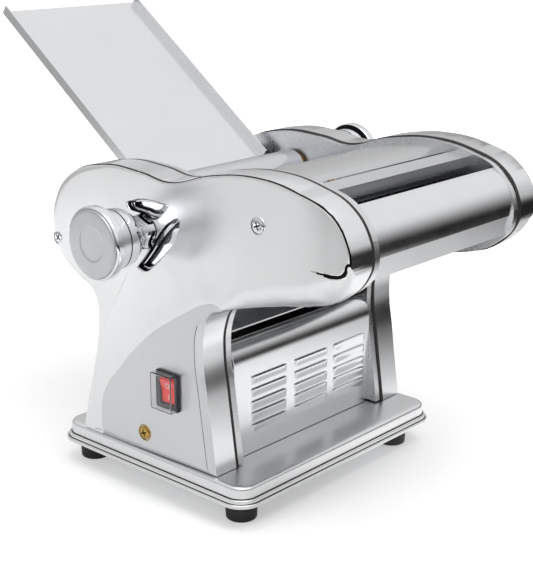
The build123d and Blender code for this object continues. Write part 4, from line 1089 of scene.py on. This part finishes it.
for kind, slotName in (("chrome", "knob_chrome"), ("brass", "brass")):
    for sideName, side in (("Near", -1), ("Far", 1)):
        for number, (y, z) in enumerate(screwPlaces[kind]):
            one = copyOf(screw, f"{kind}Screw{sideName}{number + 1}")
            turn = math.radians(screwSet["turns"][0] + screwSet["turns"][1] * number)
            one.rotation_euler = (turn, 0, 0 if side > 0 else math.pi)
            sunk = screwSet["lobeSunk"] if y > screwSet["lobeFrom"] else 0
            one.location = (-side * sunk * mm, y * mm, z * mm)
            clean(one)
            handOver(one, "frame", slotName, (finishes[slotName], paintedShadeSteel), f"{kind}_cover_screws")
bpy.data.objects.remove(screw)

# louvred front panel: pressed hoods over real slits, and a top that bends back into a small curl
louvreSet = {
    "y": -66.5,
    "half": 76.4,
    "foot": 34.0,
    "bend": 103.5,
    "bendRadius": 21.0,
    "bendTurn": 52.0,
    "curlRadius": 1.6,
    "sheet": 1.0,
    "columns": [(-59.0, -21.5), (-12.0, 25.0), (33.5, 69.5)],
    "rows": [92.4, 83.0, 73.5, 64.9, 55.8],
    "high": 8.0,
    "out": 1.6,
    "mouth": 0.4,
    "end": 3.5,
    "opens": 8.0,
    "droop": 0.9,
    "hoodSheet": 0.5,
    "hoodGrid": (60, 14),
    "stand": 0.02,
    "slit": (1.1, 3.0, 2.5),  # top and foot below the hood's top, and how much shorter at each end
    "curlTurn": 150.0,
}
startAlone()
bpy.ops.mesh.primitive_plane_add(size=1, rotation=(math.pi / 2, 0, 0))
panel = bpy.context.object
tall = louvreSet["bend"] - louvreSet["foot"]
panel.scale = (2 * louvreSet["half"] * mm, tall * mm, 1)
panel.location = (0, louvreSet["y"] * mm, (louvreSet["foot"] + tall / 2) * mm)
applyPlace()
bpy.ops.object.mode_set(mode="EDIT")
below, foot, shorter = louvreSet["slit"]
slits = []
for low, high in louvreSet["columns"]:
    for top in louvreSet["rows"]:
        slits.append((low + shorter, high - shorter, top - foot, top - below))
cuts = {(0, x) for one in slits for x in one[:2]} | {(2, z) for one in slits for z in one[2:]}
for axis, value in sorted(cuts):
    place = [0, 0, 0]
    normal = [0, 0, 0]
    place[axis] = value * mm
    normal[axis] = 1
    bpy.ops.mesh.select_all(action="SELECT")
    bpy.ops.mesh.bisect(plane_co=place, plane_no=normal)
pick(panel, "FACE", lambda mid, f: any(a < mid.x < b and c < mid.z < d for a, b, c, d in slits))
bpy.ops.mesh.delete(type="FACE")
pick(panel, "EDGE", lambda mid, e: mid.z > louvreSet["bend"] - 0.01)
turn, curl = math.radians(louvreSet["bendTurn"]), math.radians(louvreSet["curlTurn"])
y, z = louvreSet["y"] + louvreSet["bendRadius"], louvreSet["bend"]
bpy.ops.mesh.spin(steps=14, angle=turn, center=(0, y * mm, z * mm), axis=(1, 0, 0))
small = louvreSet["bendRadius"] - louvreSet["curlRadius"]
y, z = y - small * math.cos(turn), z + small * math.sin(turn)
bpy.ops.mesh.spin(steps=10, angle=curl, center=(0, y * mm, z * mm), axis=(1, 0, 0))
cleanSheet(panel, 1, -1)
applyModifier(panel, "SOLIDIFY", thickness=louvreSet["sheet"] * mm, offset=-1)

# one hood: a fine grid whose vertices rise steeply at the slit and the ends, and sink back gently below
wide = louvreSet["columns"][0][1] - louvreSet["columns"][0][0]
startAlone()
across, upwards = louvreSet["hoodGrid"]
upright = (math.pi / 2, 0, 0)
bpy.ops.mesh.primitive_grid_add(x_subdivisions=across, y_subdivisions=upwards, size=1, rotation=upright)
pattern = bpy.context.object
pattern.scale = (wide * mm, louvreSet["high"] * mm, 1)
applyPlace()
for vert in pattern.data.vertices:
    down = 0.5 - vert.co.z / (louvreSet["high"] * mm)
    end = np.clip((wide / 2 - abs(vert.co.x / mm)) / louvreSet["end"], 0, 1)
    corner = math.sqrt(max(0.0, 1 - (1 - end) ** 2))
    mouth = min(1, louvreSet["mouth"] + down * louvreSet["opens"])
    rise = louvreSet["out"] * corner * mouth * math.cos(math.pi / 2 * down) ** 2
    vert.co.z = (-down * louvreSet["high"] - louvreSet["droop"] * (1 - corner)) * mm
    vert.co.y = (louvreSet["y"] - louvreSet["stand"] - rise) * mm
cleanSheet(pattern, 1, -1)
applyModifier(pattern, "SOLIDIFY", thickness=louvreSet["hoodSheet"] * mm, offset=-1)
hoods = []
for low, high in louvreSet["columns"]:
    for top in louvreSet["rows"]:
        one = copyOf(pattern, "louvreHood")
        one.location = ((low + high) / 2 * mm, 0, top * mm)
        clean(one)
        hoods.append(one)
bpy.data.objects.remove(pattern)
panel = joined("louvredFrontPanel", [panel] + hoods)
handOver(panel, "frame", "polished_steel", (polishedSteel,), "louvred_panel")

# base tray: built upwards from the widest part of its bead by insets, each a step inwards and up
traySet = {
    "size": (219.0, 188.7),
    "middle": -10.3,
    "corner": 17.0,
    "cornerSteps": 12,
    "reach": 3.0,
    "wide": 19.7,
    "lip": 0.2,
    "up": [  # how far inwards, and how far up
        (0.0, 1.0), (0.2, 0.5), (0.5, 0.3), (0.7, -0.35), (0.4, 0.1), (0.0, 0.5), (0.1, 1.5),
        (0.2, 0.55), (0.5, 0.35), (0.5, 0.0), (0.4, -0.4), (0.35, 0.1), (0.0, 0.9), (0.05, 5.8),
        (0.25, 1.1), (0.5, 0.75), (0.85, 0.5), (1.2, 0.3), (2.0, 0.15),
    ],
    # heights in millimetres of the bands whose faces get painted shade in the grooves
    "dark": [(21.35, 21.45), (21.66, 21.74), (23.97, 24.03), (24.45, 24.55)],
    "down": [(0.2, 0.6), (0.5, 0.4), (0.6, 0.2)],
    "floorInset": 3.2,
    "hollow": 13.3,
}
startAlone()
bpy.ops.mesh.primitive_plane_add(size=1, location=(0, traySet["middle"] * mm, traySet["wide"] * mm))
tray = bpy.context.object
tray.name = "pressedBaseTray"
tray.scale = [(side + 2 * traySet["reach"]) * mm for side in traySet["size"]] + [1]
applyPlace()
editAll()
bpy.ops.mesh.bevel(offset=traySet["corner"] * mm, segments=traySet["cornerSteps"], affect="VERTICES")
bpy.ops.mesh.select_all(action="SELECT")
bpy.ops.mesh.extrude_region_move(TRANSFORM_OT_translate={"value": (0, 0, traySet["lip"] * mm)})
for inwards, up in traySet["up"]:
    bpy.ops.mesh.inset(thickness=inwards * mm, depth=up * mm)
pick(tray, "FACE", lambda mid, f: abs(mid.z - traySet["wide"]) < 0.01 and f.calc_area() > 0.01)
for inwards, down in traySet["down"]:
    bpy.ops.mesh.inset(thickness=inwards * mm, depth=down * mm)
bpy.ops.mesh.inset(thickness=traySet["floorInset"] * mm)
bpy.ops.mesh.inset(thickness=0, depth=-traySet["hollow"] * mm)
clean(tray)
for face in tray.data.polygons:  # the grooves round the side get painted shade
    up = face.center.z / mm
    face.material_index = int(any(low < up < high for low, high in traySet["dark"]))
handOver(tray, "frame", "polished_steel", (finishes["belted"], paintedShadeSteel), "base_tray", angle=40)
